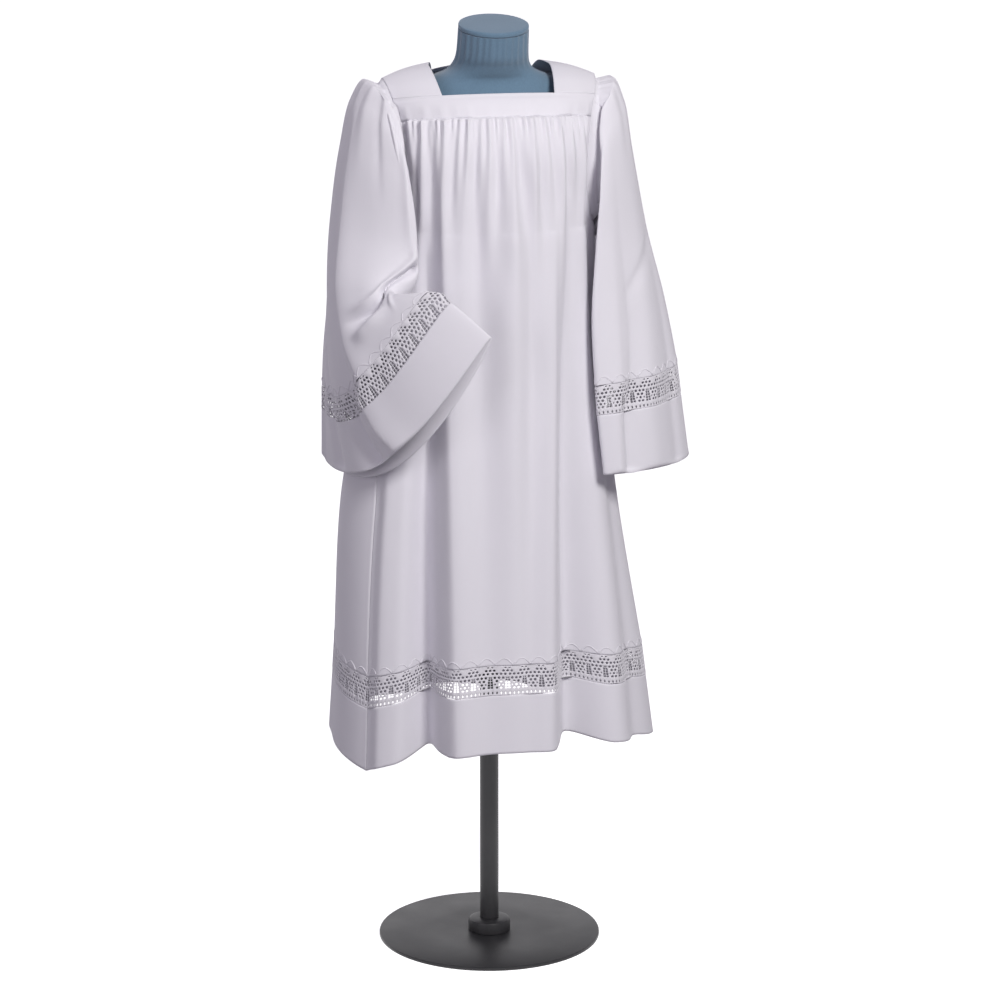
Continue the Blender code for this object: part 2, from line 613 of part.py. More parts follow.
def form_body(material):
    """The torso and neck, one loft of rounded sections, with the neck leaning forwards."""
    angles = np.linspace(0.0, 2 * math.pi, FORM_SIDES, endpoint=False)
    rings = []
    for z, half, depth, ahead in zip(*(FORM_ROWS[k] for k in ("z", "half", "depth", "ahead"))):
        x, y = half * np.sin(angles), -depth * np.cos(angles) - ahead
        rings.append(np.stack([x, y, np.full_like(angles, z)], axis=-1))
    rings.append(neck_ring(angles, NECK_RADIUS - 0.001, -CAP_THICK - CLEAR))
    points = np.concatenate(rings)
    sides = FORM_SIDES
    faces = [list(reversed(range(sides)))]
    for ring in range(len(rings) - 1):
        for k in range(sides):
            a, b = ring * sides + k, ring * sides + (k + 1) % sides
            faces.append([a, b, b + sides, a + sides])
    last = (len(rings) - 1) * sides
    faces.append([last + k for k in range(sides)])
    return mesh_object("form_body", points, faces, material)


def neck_ring(angles, radius, along):
    """A ring square to the leaning neck, at a distance along it from the top."""
    tilt = math.radians(NECK_TILT)
    ahead = np.array([0.0, -math.cos(tilt), -math.sin(tilt)])
    up = np.array([0.0, -math.sin(tilt), math.cos(tilt)])
    side = np.array([1.0, 0.0, 0.0])
    centre = np.array([0.0, NECK_TOP_Y, NECK_TOP_Z]) + up * along
    return centre + radius * (np.sin(angles)[:, None] * side + np.cos(angles)[:, None] * ahead)


def neck_cap(material):
    angles = np.linspace(0.0, 2 * math.pi, FORM_SIDES, endpoint=False)
    steps = ((NECK_RADIUS, -CAP_THICK), (NECK_RADIUS, -0.002), (NECK_RADIUS - 0.002, 0.0))
    points = np.concatenate([neck_ring(angles, r, along) for r, along in steps])
    n = FORM_SIDES
    faces = [list(reversed(range(n)))]
    for ring in range(len(steps) - 1):
        for k in range(n):
            a, b = ring * n + k, ring * n + (k + 1) % n
            faces.append([a, b, b + n, a + n])
    faces.append([(len(steps) - 1) * n + k for k in range(n)])
    return mesh_object("neck_cap", points, faces, material)


def stand(material):
    hips = FORM_ROWS["z"][0]
    turned(
        "stand_base",
        (
            (BASE_RADIUS - BASE_BEVEL, BASE_THICK),
            (BASE_RADIUS, BASE_THICK - BASE_BEVEL),
            (BASE_RADIUS, 0.0),
        ),
        48,
        material,
    )
    turned(
        "stand_flange",
        (
            (FLANGE_RADIUS - 0.006, BASE_THICK + CLEAR + FLANGE_HEIGHT),
            (FLANGE_RADIUS, BASE_THICK + CLEAR + FLANGE_HEIGHT - 0.006),
            (FLANGE_RADIUS, BASE_THICK + CLEAR),
        ),
        32,
        material,
    )
    pole_foot = BASE_THICK + FLANGE_HEIGHT + 2 * CLEAR
    socket_foot = hips - CLEAR - SOCKET_LENGTH
    turned("stand_pole", ((POLE_RADIUS, socket_foot - CLEAR), (POLE_RADIUS, pole_foot)), 24, material)
    turned("stand_socket", ((SOCKET_RADIUS, hips - CLEAR), (SOCKET_RADIUS, socket_foot)), 32, material)


def main():
    for old in list(bpy.data.objects):
        bpy.data.objects.remove(old)
    cloth = make_material("cloth_white", CLOTH_COLOUR, 0.75)
    lace = make_material("lace_white", LACE_COLOUR, 0.8)
    jersey = make_material("form_jersey", FORM_COLOUR, 0.9)
    steel = make_material("stand_steel", STEEL_COLOUR, 0.4, 0.8)

    skin = garment_skin()
    points = np.array(skin.points)
    normals = skin_normals(points, skin.faces)
    for name in sorted(set(skin.names)):
        faces = [face for face, its_name in zip(skin.faces, skin.names) if its_name == name]
        wall(name, points, normals, faces, lace if "lace" in name else cloth)

    form_body(jersey)
    neck_cap(jersey)
    stand(steel)


main()
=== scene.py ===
"""A white surplice on a dress form, in fine cloth, lace, jersey and steel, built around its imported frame.

The cloth is worked out in metres from tables of sections: the front and the back are rows of arcs
from side seam to side seam, the straps join them, and each sleeve is a row of loops that starts on
the armhole.  Folds, gathers and creases stand out from those surfaces.  Lace, scallops and stitches
are short repeats that Geometry Nodes lay along the cloth.
"""

import math

import bmesh
import bpy
import numpy as np
from bpy.props import FloatProperty, FloatVectorProperty, PointerProperty
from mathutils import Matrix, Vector
from mathutils.geometry import delaunay_2d_cdt


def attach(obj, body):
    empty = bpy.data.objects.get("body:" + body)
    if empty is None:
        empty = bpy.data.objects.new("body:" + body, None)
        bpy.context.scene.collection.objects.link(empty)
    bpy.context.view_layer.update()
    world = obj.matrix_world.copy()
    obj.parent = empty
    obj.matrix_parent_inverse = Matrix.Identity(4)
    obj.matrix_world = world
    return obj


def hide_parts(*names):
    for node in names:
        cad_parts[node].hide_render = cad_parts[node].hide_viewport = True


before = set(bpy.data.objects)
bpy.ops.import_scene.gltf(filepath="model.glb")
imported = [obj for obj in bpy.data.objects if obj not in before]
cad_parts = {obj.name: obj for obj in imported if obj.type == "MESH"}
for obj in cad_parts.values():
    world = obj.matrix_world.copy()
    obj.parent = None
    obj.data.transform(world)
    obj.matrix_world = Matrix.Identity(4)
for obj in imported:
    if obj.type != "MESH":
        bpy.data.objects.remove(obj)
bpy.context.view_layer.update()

bl_info = {
    "name": "Surplice",
    "version": (1, 0, 0),
    "blender": (4, 5, 0),
    "location": "View3D > Sidebar > Surplice",
    "description": "Builds a surplice with lace bands on a dress form",
    "category": "Object",
}

# ---------------------------------------------------------------- sections of the cloth (metres)
NECK_CORNER_X = 0.0925  # half the width of the square neckline at its front corners
STRAP_TURN = 54.0  # degrees round the sleeve at which the strap's edge begins

# Named rows of the body, as values of the row coordinate v
YOKE_TOP, YOKE_SEAM, UNDERARM, LACE_TOP, LACE_END, HEM = 0.0, 1.0, 2.0, 3.0, 4.0, 5.0

FRONT_ROWS = {
    "v": (0.0, 1.0, 1.33, 1.67, 1.9, 2.0, 2.3, 2.6, 3.0, 4.0, 5.0),
    "z": (1.472, 1.440, 1.380, 1.305, 1.256, 1.240, 1.030, 0.800, 0.541, 0.492, 0.394),
    "depth": (0.100, 0.124, 0.141, 0.150, 0.154, 0.156, 0.167, 0.184, 0.205, 0.210, 0.219),
    "fall": (0.012, 0.010, 0.010, 0.010, 0.006, 0.004, 0.008, 0.022, 0.038, 0.043, 0.052),
    "right_half": (0.194, 0.188, 0.181, 0.172, 0.172, 0.175, 0.205, 0.250, 0.262, 0.264, 0.268),
    "right_end": (60.0, 56.5, 56.0, 63.0, 76.0, 90.0, 70.0, 57.0, 59.0, 59.0, 59.0),
    "left_half": (0.194, 0.188, 0.181, 0.172, 0.172, 0.175, 0.186, 0.216, 0.262, 0.269, 0.283),
    "left_end": (60.0, 56.5, 56.0, 63.0, 76.0, 90.0, 96.0, 98.0, 98.0, 98.0, 98.0),
}
BACK_ROWS = {
    **FRONT_ROWS,
    "z": (1.499, 1.415, 1.365, 1.300, 1.256, 1.240, 1.030, 0.800, 0.533, 0.484, 0.385),
    "depth": (0.078, 0.132, 0.143, 0.150, 0.154, 0.156, 0.168, 0.186, 0.208, 0.213, 0.222),
    "fall": (0.038, 0.012, 0.010, 0.010, 0.006, 0.004, 0.008, 0.022, 0.030, 0.035, 0.043),
    "right_end": (54.0, 56.5, 58.0, 63.0, 76.0, 90.0, 110.0, 123.0, 121.0, 121.0, 121.0),
    "left_end": (54.0, 56.5, 58.0, 63.0, 76.0, 90.0, 84.0, 82.0, 82.0, 82.0, 82.0),
}

# Long folds.  Their place is the distance along the section from its middle, towards the wearer's
# left, at the chest and at the hem; the two widths are towards the wearer's right and left; depth
# is outwards, at the chest, the knee and the hem.
FOLD_COLUMNS = (
    "chest", "hem", "chest_right", "chest_left", "hem_right", "hem_left",
    "chest_depth", "knee_depth", "hem_depth",
)
FRONT_FOLDS = (
    (-0.156, -0.238, 0.012, 0.008, 0.030, 0.026, 0.004, 0.008, 0.010),
    (-0.127, -0.166, 0.005, 0.014, 0.018, 0.034, -0.014, -0.040, -0.062),
    (-0.097, -0.090, 0.008, 0.020, 0.017, 0.034, 0.007, 0.012, 0.013),
    (-0.046, -0.030, 0.014, 0.022, 0.034, 0.040, -0.010, -0.008, -0.003),
    (0.014, 0.002, 0.020, 0.014, 0.050, 0.034, 0.010, 0.009, 0.007),
    (0.048, 0.034, 0.010, 0.016, 0.022, 0.034, -0.009, -0.008, -0.003),
    (0.088, 0.064, 0.018, 0.006, 0.030, 0.018, 0.008, 0.013, 0.014),
    (0.110, 0.128, 0.007, 0.014, 0.034, 0.046, -0.012, -0.036, -0.060),
    (0.135, 0.190, 0.014, 0.014, 0.040, 0.040, 0.004, 0.008, 0.014),
    (0.165, 0.262, 0.012, 0.012, 0.026, 0.026, -0.006, -0.006, -0.012),
)
BACK_FOLDS = (
    (-0.165, -0.300, 0.016, 0.016, 0.034, 0.034, 0.004, 0.008, 0.014),
    (-0.130, -0.235, 0.014, 0.014, 0.026, 0.020, -0.008, -0.016, -0.030),
    (-0.100, -0.180, 0.014, 0.014, 0.034, 0.034, 0.005, 0.010, 0.014),
    (-0.066, -0.110, 0.014, 0.010, 0.030, 0.016, -0.009, -0.024, -0.044),
    (-0.030, -0.045, 0.018, 0.018, 0.036, 0.036, 0.006, 0.010, 0.012),
    (0.002, 0.018, 0.012, 0.012, 0.018, 0.026, -0.008, -0.014, -0.026),
    (0.036, 0.066, 0.016, 0.016, 0.034, 0.034, 0.006, 0.010, 0.013),
    (0.070, 0.128, 0.010, 0.014, 0.016, 0.030, -0.010, -0.026, -0.048),
    (0.104, 0.186, 0.016, 0.016, 0.036, 0.036, 0.005, 0.010, 0.014),
    (0.140, 0.246, 0.014, 0.014, 0.026, 0.026, -0.007, -0.014, -0.024),
)

# Gathers under the yoke seam: place along the seam, slant (sideways drift over the reach),
# half width at the seam, outward depth, and how far down they run
GATHER_COLUMNS = ("place", "slant", "width", "depth", "reach")
FRONT_GATHERS = (
    (-0.153, -0.004, 0.0050, 0.0040, 0.11),
    (-0.142, -0.004, 0.0040, 0.0030, 0.06),
    (-0.128, -0.006, 0.0052, 0.0058, 0.20),
    (-0.114, -0.004, 0.0036, 0.0034, 0.07),
    (-0.104, -0.003, 0.0040, 0.0044, 0.12),
    (-0.092, -0.006, 0.0058, 0.0066, 0.26),
    (-0.078, -0.010, 0.0036, 0.0036, 0.08),
    (-0.068, -0.014, 0.0042, 0.0052, 0.17),
    (-0.055, -0.016, 0.0052, 0.0060, 0.22),
    (-0.043, -0.008, 0.0034, 0.0036, 0.06),
    (-0.034, -0.010, 0.0038, 0.0048, 0.13),
    (-0.022, -0.010, 0.0050, 0.0058, 0.20),
    (-0.010, -0.002, 0.0034, 0.0036, 0.07),
    (-0.001, 0.002, 0.0042, 0.0050, 0.15),
    (0.011, 0.004, 0.0046, 0.0056, 0.19),
    (0.022, 0.004, 0.0034, 0.0034, 0.06),
    (0.032, 0.006, 0.0040, 0.0044, 0.10),
    (0.044, 0.006, 0.0056, 0.0064, 0.25),
    (0.056, 0.004, 0.0038, 0.0038, 0.08),
    (0.067, 0.008, 0.0044, 0.0052, 0.15),
    (0.079, 0.010, 0.0040, 0.0042, 0.09),
    (0.092, 0.012, 0.0054, 0.0062, 0.24),
    (0.104, 0.008, 0.0038, 0.0038, 0.07),
    (0.114, 0.010, 0.0044, 0.0048, 0.14),
    (0.126, 0.010, 0.0040, 0.0040, 0.09),
    (0.138, 0.008, 0.0050, 0.0052, 0.18),
    (0.151, 0.004, 0.0046, 0.0042, 0.11),
)
BACK_GATHERS = tuple((-p * 0.98 + 0.003, -s, w, d, r * 1.1) for p, s, w, d, r in FRONT_GATHERS)
GATHER_START = 0.004  # a gather opens over this length below the seam
# The fine cloth stands out this much more than its table says, and its tucks run on this much longer
GATHER_DEEPER, GATHER_LONGER = 2.3, 1.75
# The crowded small tucks right under the yoke: their rate along the seam, depth and reach
GATHER_RATE, GATHER_FINE, GATHER_FINE_REACH = 760.0, 0.0013, 0.045
GATHER_FINE_START = 0.002
GATHER_SWAY = ((2.6, 61.0, 0.0), (1.7, 143.0, 1.0))  # how they crowd: size, rate and phase
# A gather is whole over the first share of its run and fades over the next; it drifts outwards
# down the cloth and widens along its run
GATHER_WHOLE, GATHER_FADES, GATHER_DRIFT, GATHER_SPREAD = 0.15, 0.85, 0.2, 2.2
FOLD_OPENS = 0.16  # a fold comes out over this length below the seam
FOLD_STOPS = (0.0, 0.30, 0.62, 1.0)  # shares of the length: yoke, chest, knee and hem
FOLD_LIFT = 0.20  # the hem rises by this share of a hollow's depth
# Rows over which the back's side edge comes onto the front's, and the share of the half width it takes along
JOIN_FROM, JOIN_OVER, JOIN_REACH = 1.9, 0.1, 0.06
EDGE_EASE = 0.86  # folds fade out between this share of the half width and the side seam

STRAP_ROWS = {
    "t": (0.0, 0.28, 0.56, 0.80, 1.0),
    "inner_x": (0.0925, 0.0975, 0.1000, 0.0985, 0.0940),
    "inner_y": (-0.0879, -0.0480, -0.0020, 0.0370, 0.0680),
    "inner_z": (1.4690, 1.4935, 1.5060, 1.5040, 1.4860),
    "outer_x": (0.1680, 0.1735, 0.1765, 0.1730, 0.1569),
    "outer_y": (-0.0500, -0.0250, 0.0020, 0.0270, 0.0458),
    "outer_z": (1.4600, 1.4790, 1.4870, 1.4800, 1.4610),
}

HANDS = ((1, "left"), (-1, "right"))  # the wearer's, and the way along X that each one lies
# The yoke: it ends this far over the gathers (in rows), stands off the cloth by its clearance, and lifts over
# its lower part but not at its side edges
YOKE_END, YOKE_CLEAR = 1.035, 0.0008
YOKE_LIFTS_FROM, YOKE_LIFTS_OVER, YOKE_SIDE, YOKE_SIDE_OVER = 0.55, 0.5, 0.90, 0.10
STRAP_CROWN = 0.004  # the strap rises this much over its middle
STRAP_LIFT = 0.0006  # and lies this much over the yokes

# Sleeve loops, armhole to mouth: the front, outer, rear and inner points of each loop.
# w is 0 at the armhole, 1 at the lace, 2 below it and 3 at the mouth.
SLEEVE_LACE, SLEEVE_LACE_END, SLEEVE_MOUTH = 1.0, 2.0, 3.0
SLEEVE_LEAVES = 0.16  # w at which the sleeve no longer follows the armhole
HANGING_LOOPS = {
    "w": (0.0, 0.07, 0.16, 0.28, 0.45, 0.70, 1.0, 2.0, 3.0),
    "front_x": (0.153, 0.160, 0.164, 0.163, 0.158, 0.153, 0.157, 0.160, 0.170),
    "front_y": (-0.078, -0.096, -0.106, -0.112, -0.118, -0.128, -0.142, -0.146, -0.152),
    "front_z": (1.366, 1.372, 1.345, 1.295, 1.210, 1.105, 0.992, 0.943, 0.843),
    "outer_x": (0.1765, 0.207, 0.228, 0.241, 0.263, 0.296, 0.320, 0.327, 0.342),
    "outer_y": (0.002, 0.002, 0.000, -0.004, -0.006, -0.008, -0.010, -0.010, -0.010),
    "outer_z": (1.485, 1.487, 1.446, 1.365, 1.245, 1.115, 0.996, 0.945, 0.838),
    "rear_x": (0.156, 0.172, 0.182, 0.190, 0.202, 0.222, 0.246, 0.252, 0.264),
    "rear_y": (0.083, 0.100, 0.110, 0.118, 0.126, 0.134, 0.142, 0.144, 0.148),
    "rear_z": (1.366, 1.375, 1.350, 1.300, 1.215, 1.110, 0.995, 0.946, 0.846),
    "inner_x": (0.175, 0.192, 0.200, 0.204, 0.210, 0.220, 0.234, 0.240, 0.256),
    "inner_y": (0.000, 0.000, 0.002, 0.004, 0.008, 0.012, 0.016, 0.016, 0.016),
    "inner_z": (1.236, 1.222, 1.200, 1.175, 1.125, 1.060, 0.980, 0.932, 0.834),
}
BENT_LOOPS = {
    "w": (0.0, 0.07, 0.16, 0.28, 0.45, 0.62, 0.80, 1.0, 2.0, 3.0),
    "front_x": (-0.153, -0.150, -0.147, -0.143, -0.141, -0.180, -0.172, -0.136, -0.104, -0.045),
    "front_y": (-0.078, -0.100, -0.112, -0.122, -0.132, -0.150, -0.190, -0.222, -0.240, -0.272),
    "front_z": (1.366, 1.372, 1.345, 1.290, 1.200, 1.156, 1.164, 1.174, 1.158, 1.106),
    "outer_x": (-0.1765, -0.203, -0.226, -0.241, -0.256, -0.268, -0.266, -0.252, -0.236, -0.200),
    "outer_y": (0.002, -0.004, -0.010, -0.020, -0.040, -0.070, -0.105, -0.140, -0.158, -0.190),
    "outer_z": (1.485, 1.492, 1.456, 1.380, 1.260, 1.148, 1.065, 1.005, 0.970, 0.896),
    "rear_x": (-0.156, -0.176, -0.192, -0.208, -0.228, -0.245, -0.257, -0.264, -0.267, -0.272),
    "rear_y": (0.083, 0.100, 0.108, 0.112, 0.108, 0.096, 0.076, 0.050, 0.044, 0.030),
    "rear_z": (1.366, 1.375, 1.348, 1.295, 1.200, 1.110, 1.035, 0.968, 0.930, 0.846),
    "inner_x": (-0.175, -0.192, -0.200, -0.206, -0.214, -0.224, -0.226, -0.210, -0.199, -0.174),
    "inner_y": (0.000, 0.000, 0.000, -0.004, -0.014, -0.040, -0.084, -0.130, -0.146, -0.176),
    "inner_z": (1.236, 1.222, 1.198, 1.170, 1.120, 1.060, 1.006, 0.964, 0.942, 0.884),
}

# Pleats of the gathered sleeve heads: turn round the sleeve in degrees, half width in degrees,
# outward depth, and the share of the way to the lace that they reach
PLEAT_COLUMNS = ("turn", "width", "depth", "reach")
PLEAT_OPENS, PLEAT_FROM = 0.008, 0.02  # w over which a pleat comes out, and from which it fades
PLEAT_SPREAD, PLEAT_SUNK = 0.8, 0.25  # how much it widens, and the share that lies in hollows beside it
HEAD_PLEATS = (
    (60.0, 24.0, 0.0120, 0.22),
    (122.0, 22.0, 0.0110, 0.22),
    (46.0, 4.6, 0.0036, 0.24),
    (55.0, 4.2, 0.0062, 0.34),
    (62.5, 3.4, 0.0060, 0.22),
    (70.5, 3.8, 0.0080, 0.38),
    (78.5, 3.0, 0.0062, 0.20),
    (87.0, 4.0, 0.0078, 0.32),
    (96.0, 3.2, 0.0064, 0.22),
    (105.0, 4.0, 0.0076, 0.36),
    (114.5, 3.2, 0.0060, 0.22),
    (124.0, 4.0, 0.0068, 0.30),
    (135.0, 3.8, 0.0050, 0.24),
    (148.0, 5.0, 0.0040, 0.28),
)

# Creases of the sleeves.  Long ones run down the sleeve: each line gives w and the turn in degrees;
# cross ones run round it: each line gives the turn and w.  "before" and "after" are the half widths
# on either side, "depth" is outwards, and "start" and "end" are the shares it takes to fade in and out.
CREASE_COLUMNS = ("line", "before", "after", "depth", "start", "end")
SLEEVE_LONG = 0.50  # metres of cloth from w 0 to w 1
LONG_CREASES = {
    "left": (
        (((0.10, 34.0), (0.40, 38.0), (0.67, 40.0), (1.0, 36.0), (2.0, 30.0), (3.0, 27.0)),
         0.004, 0.014, -0.0075, 0.5, 0.02),
        (((0.20, 26.0), (0.60, 29.0), (1.0, 26.0), (3.0, 18.0)), 0.016, 0.008, 0.0050, 0.3, 0.02),
        (((0.14, 60.0), (0.40, 62.0), (0.70, 56.0), (1.0, 52.0), (3.0, 48.0)),
         0.014, 0.018, 0.0060, 0.3, 0.02),
        (((0.25, 82.0), (0.70, 76.0), (3.0, 70.0)), 0.012, 0.008, -0.0050, 0.3, 0.02),
        (((0.30, 110.0), (1.0, 108.0), (3.0, 106.0)), 0.014, 0.014, -0.010, 0.3, 0.05),
        (((0.20, 136.0), (1.0, 134.0), (3.0, 132.0)), 0.014, 0.014, 0.007, 0.3, 0.05),
        (((0.25, 160.0), (1.0, 164.0), (3.0, 166.0)), 0.016, 0.010, -0.010, 0.3, 0.05),
        (((0.35, 215.0), (1.0, 212.0), (3.0, 208.0)), 0.014, 0.012, -0.006, 0.3, 0.05),
    ),
    "right": (
        (((0.03, 80.0), (0.25, 82.0), (0.45, 84.0), (0.62, 82.0), (0.88, 80.0),
          (1.27, 86.0), (2.4, 88.0), (3.0, 84.0)),
         0.024, 0.0050, 0.0090, 0.2, 0.01),
        (((0.03, 89.0), (0.25, 91.0), (0.45, 93.0), (0.62, 91.0), (0.88, 90.0),
          (1.27, 96.0), (2.4, 99.0), (3.0, 96.0)),
         0.0050, 0.0200, -0.0200, 0.7, 0.01),
        (((0.03, 58.0), (0.16, 55.0), (0.40, 48.0)), 0.006, 0.012, -0.0050, 0.3, 0.6),
        (((0.10, 22.0), (0.30, 18.0), (0.48, 16.0)), 0.010, 0.014, 0.0040, 0.4, 0.4),
        (((0.25, 126.0), (1.0, 130.0), (3.0, 132.0)), 0.014, 0.014, -0.008, 0.3, 0.05),
        (((0.20, 160.0), (1.0, 166.0), (3.0, 170.0)), 0.016, 0.012, 0.007, 0.3, 0.05),
        (((0.25, 196.0), (1.0, 200.0), (3.0, 204.0)), 0.014, 0.010, -0.009, 0.3, 0.05),
    ),
}
CROSS_CREASES = {
    "left": (
        (((30.0, 0.70), (60.0, 0.56), (96.0, 0.46)), 0.010, 0.018, -0.0030, 0.4, 0.4),
        (((150.0, 0.50), (190.0, 0.42), (230.0, 0.44)), 0.010, 0.014, -0.0050, 0.3, 0.3),
    ),
    "right": (
        (((-4.0, 0.455), (10.0, 0.490), (22.0, 0.575), (34.0, 0.690), (48.0, 0.735),
          (62.0, 0.745), (78.0, 0.735)),
         0.0042, 0.0140, -0.0150, 0.15, 0.35),
        (((-4.0, 0.415), (10.0, 0.450), (22.0, 0.535), (34.0, 0.650), (48.0, 0.695),
          (62.0, 0.700), (78.0, 0.690)),
         0.0160, 0.0070, 0.0080, 0.2, 0.35),
        (((34.0, 0.800), (50.0, 0.810), (60.0, 0.815), (74.0, 0.810)), 0.0080, 0.0220, 0.0100, 0.5, 0.35),
        (((16.0, 0.640), (28.0, 0.780), (38.0, 0.900)), 0.0060, 0.0100, 0.0040, 0.4, 0.4),
        (((120.0, 0.46), (150.0, 0.44), (190.0, 0.46)), 0.010, 0.014, -0.0060, 0.3, 0.3),
    ),
}

# Openings of the lace in one repeat of 29 mm, from the middle of a net column: place to either side,
# depth below the lace's top, width and height (metres)
LACE_REPEAT = 0.029
HOLE_COLUMNS = ("x", "depth", "wide", "high")
LACE_HOLES = (
    (0.0111, 0.0027, 0.0036, 0.0017),
    (0.0077, 0.0079, 0.0044, 0.0035),
    (0.0145, 0.0079, 0.0044, 0.0035),
    (0.0035, 0.0135, 0.0044, 0.0036),
    (0.0105, 0.0135, 0.0044, 0.0036),
    (0.0, 0.0200, 0.0044, 0.0038),
    (0.0070, 0.0200, 0.0044, 0.0038),
    (0.0036, 0.0258, 0.0044, 0.0038),
    (0.0, 0.0314, 0.0042, 0.0036),
    (0.0067, 0.0314, 0.0024, 0.0026),
    (0.0035, 0.0366, 0.0042, 0.0034),
    (0.0036, 0.0455, 0.0024, 0.0042),
    (0.0109, 0.0455, 0.0024, 0.0042),
)
LACE_HOLE_SIDES = 10
# The bells between the net columns: the openings of their ladders, by top and bottom depth and the
# half width at each
LADDER_COLUMNS = ("top", "low", "top_half", "low_half")
LACE_LADDER = (
    (0.0186, 0.0214, 0.0016, 0.0028),
    (0.0222, 0.0256, 0.0031, 0.0037),
    (0.0264, 0.0300, 0.0038, 0.0042),
    (0.0308, 0.0344, 0.0042, 0.0045),
    (0.0352, 0.0380, 0.0045, 0.0047),
)
LADDER_THREAD = 0.0010
LACE_RIM = 0.0007
LACE_PILLOW = 0.0005
# Where one repeat meets the next the border steps aside round the opening on it
LACE_BORDER_STEPS = 24
BORDER_STEP_DEPTH, BORDER_STEP_HALF, BORDER_STEP_ASIDE = 0.0079, 0.0032, 0.0031
LACE_SOLID = 0.72  # share of the band that its openings leave
LACE_SLACK, LACE_INSET = 0.9998, 0.00005  # a row of repeats ends this little short of the cloth's ends
LACE_GAP = 0.0002  # between the lace and the cloth on either side
FEWEST_REPEATS = 4
EDGE_MARGIN = 0.00004  # laid motifs stop this short of the cloth's edges
MERGE_WITHIN = 0.00002  # the borders of two repeats become one
SCALLOP_LOW, SCALLOP_HIGH = 0.0015, 0.0125  # heights of the scalloped cord above the lace
SCALLOP_POWER = 0.55  # under 1 makes the scallops round and the valleys between them narrow
SCALLOP_CORDS = ((0.0008, 0.0), (0.0004, 0.0021))  # half width and lift of each of the two cords
SCALLOP_STEPS, CORD_ROUNDNESS, THREAD_ROUNDNESS = 25, 1.7, 1.5  # heights as shares of the half width
SCALLOP_FROM, SLEEVE_SCALLOP_FROM = 2.86, 0.82  # the cloth over the lace that the cords lie on
HEM_STITCHES, YOKE_STITCHES = 0.0060, 0.0024  # from the top of the hem, and from the yoke's lower edge
STITCH_SHARE = 0.72  # of the length from stitch to stitch

# The dress form: sections from the hips up to the neck, then the neck's leaning top
FORM_ROWS = {
    "row": tuple(range(17)),
    "z": (0.800, 0.806, 0.860, 0.940, 1.040, 1.140, 1.240, 1.330, 1.400,
          1.440, 1.462, 1.478, 1.490, 1.500, 1.512, 1.530, 1.5705),
    "half": (0.118, 0.128, 0.146, 0.148, 0.136, 0.137, 0.144, 0.146, 0.146,
             0.142, 0.134, 0.118, 0.095, 0.074, 0.063, 0.058, 0.0565),
    "depth": (0.086, 0.096, 0.112, 0.112, 0.102, 0.108, 0.120, 0.120, 0.110,
              0.095, 0.084, 0.073, 0.065, 0.062, 0.060, 0.0575, 0.0565),
    "ahead": (0.002, 0.002, 0.002, 0.002, 0.004, 0.006, 0.008, 0.006, 0.001,
              -0.003, -0.004, -0.002, 0.004, 0.012, 0.020, 0.032, 0.0436),
    "tilt": (0.0, 0.0, 0.0, 0.0, 0.0, 0.0, 0.0, 0.0, 0.0, 0.0, 0.0, 0.0, 0.0, 0.0, 0.0, 3.0, 10.0),
}
NECK_RADIUS, NECK_TILT, NECK_TOP_Z, NECK_TOP_Y = 0.0575, 10.0, 1.5790, -0.045
CAP_THICK = 0.008
FORM_SIDES, BUST_ROW, BUST_STEPS, NECK_STEPS = 200, 11.0, 30, 44  # rings up to this row, and from it on
GATHERS_FROM, GATHERS_OVER = 12.4, 2.8  # rows over which the neck's gathers come out
# Gathers of the jersey under the cap: turn from the front in degrees, half width in degrees, depth
NECK_GATHERS = (
    (-104, 5, 0.0012), (-88, 4, 0.0016), (-71, 5, 0.0014), (-57, 3, 0.0018), (-44, 4, 0.0015),
    (-33, 3, 0.0020), (-22, 3, 0.0017), (-12, 4, 0.0022), (-1, 3, 0.0016), (9, 3, 0.0021),
    (20, 4, 0.0018), (32, 3, 0.0020), (45, 4, 0.0015), (60, 4, 0.0018), (77, 5, 0.0013),
    (95, 5, 0.0016), (120, 7, 0.0012), (150, 6, 0.0014), (178, 6, 0.0012), (206, 7, 0.0014),
    (235, 6, 0.0012),
)
POLE_RADIUS, SOCKET_RADIUS, SOCKET_LENGTH = 0.016, 0.030, 0.040
BASE_RADIUS, BASE_THICK, BASE_BEVEL = 0.190, 0.006, 0.002
FLANGE_RADIUS, FLANGE_HEIGHT, FLANGE_BEVEL = 0.036, 0.022, 0.006
CLEAR = 0.0003  # between two hard pieces that meet
TURNED_SIDES = 96

# How finely the cloth is made: columns and rows of the gathered panels, and the row down to which
# a third of them lie; turns and rings of a sleeve; columns of the bands
PANEL_MESH = {"front": (226, 166), "back": (160, 120)}
PANEL_TOP, PANEL_FINE_TO = 0.95, 1.30
SLEEVE_SIDES, SLEEVE_RINGS, SLEEVE_CROWDING = 190, 120, 1.12
BAND_COLUMNS = {"front": 280, "back": 220, "sleeve": 220}
# The bands along the edges by the ending of their names: rows of the body, w of the sleeves, rows of mesh
BANDS = {
    "_lace": ((LACE_TOP, LACE_END), (SLEEVE_LACE, SLEEVE_LACE_END), 14),
    "": ((LACE_END, HEM), (SLEEVE_LACE_END, SLEEVE_MOUTH), 25),
    "_above": ((SCALLOP_FROM, LACE_TOP), (SLEEVE_SCALLOP_FROM, SLEEVE_LACE), 14),
}

# The sweep: its front edge, where it turns up, the radius of that bend, its half width and its height
SWEEP_NEAR, SWEEP_FAR, SWEEP_BEND, SWEEP_HALF, SWEEP_TALL = -9.0, 7.4, 1.2, 12.0, 7.0
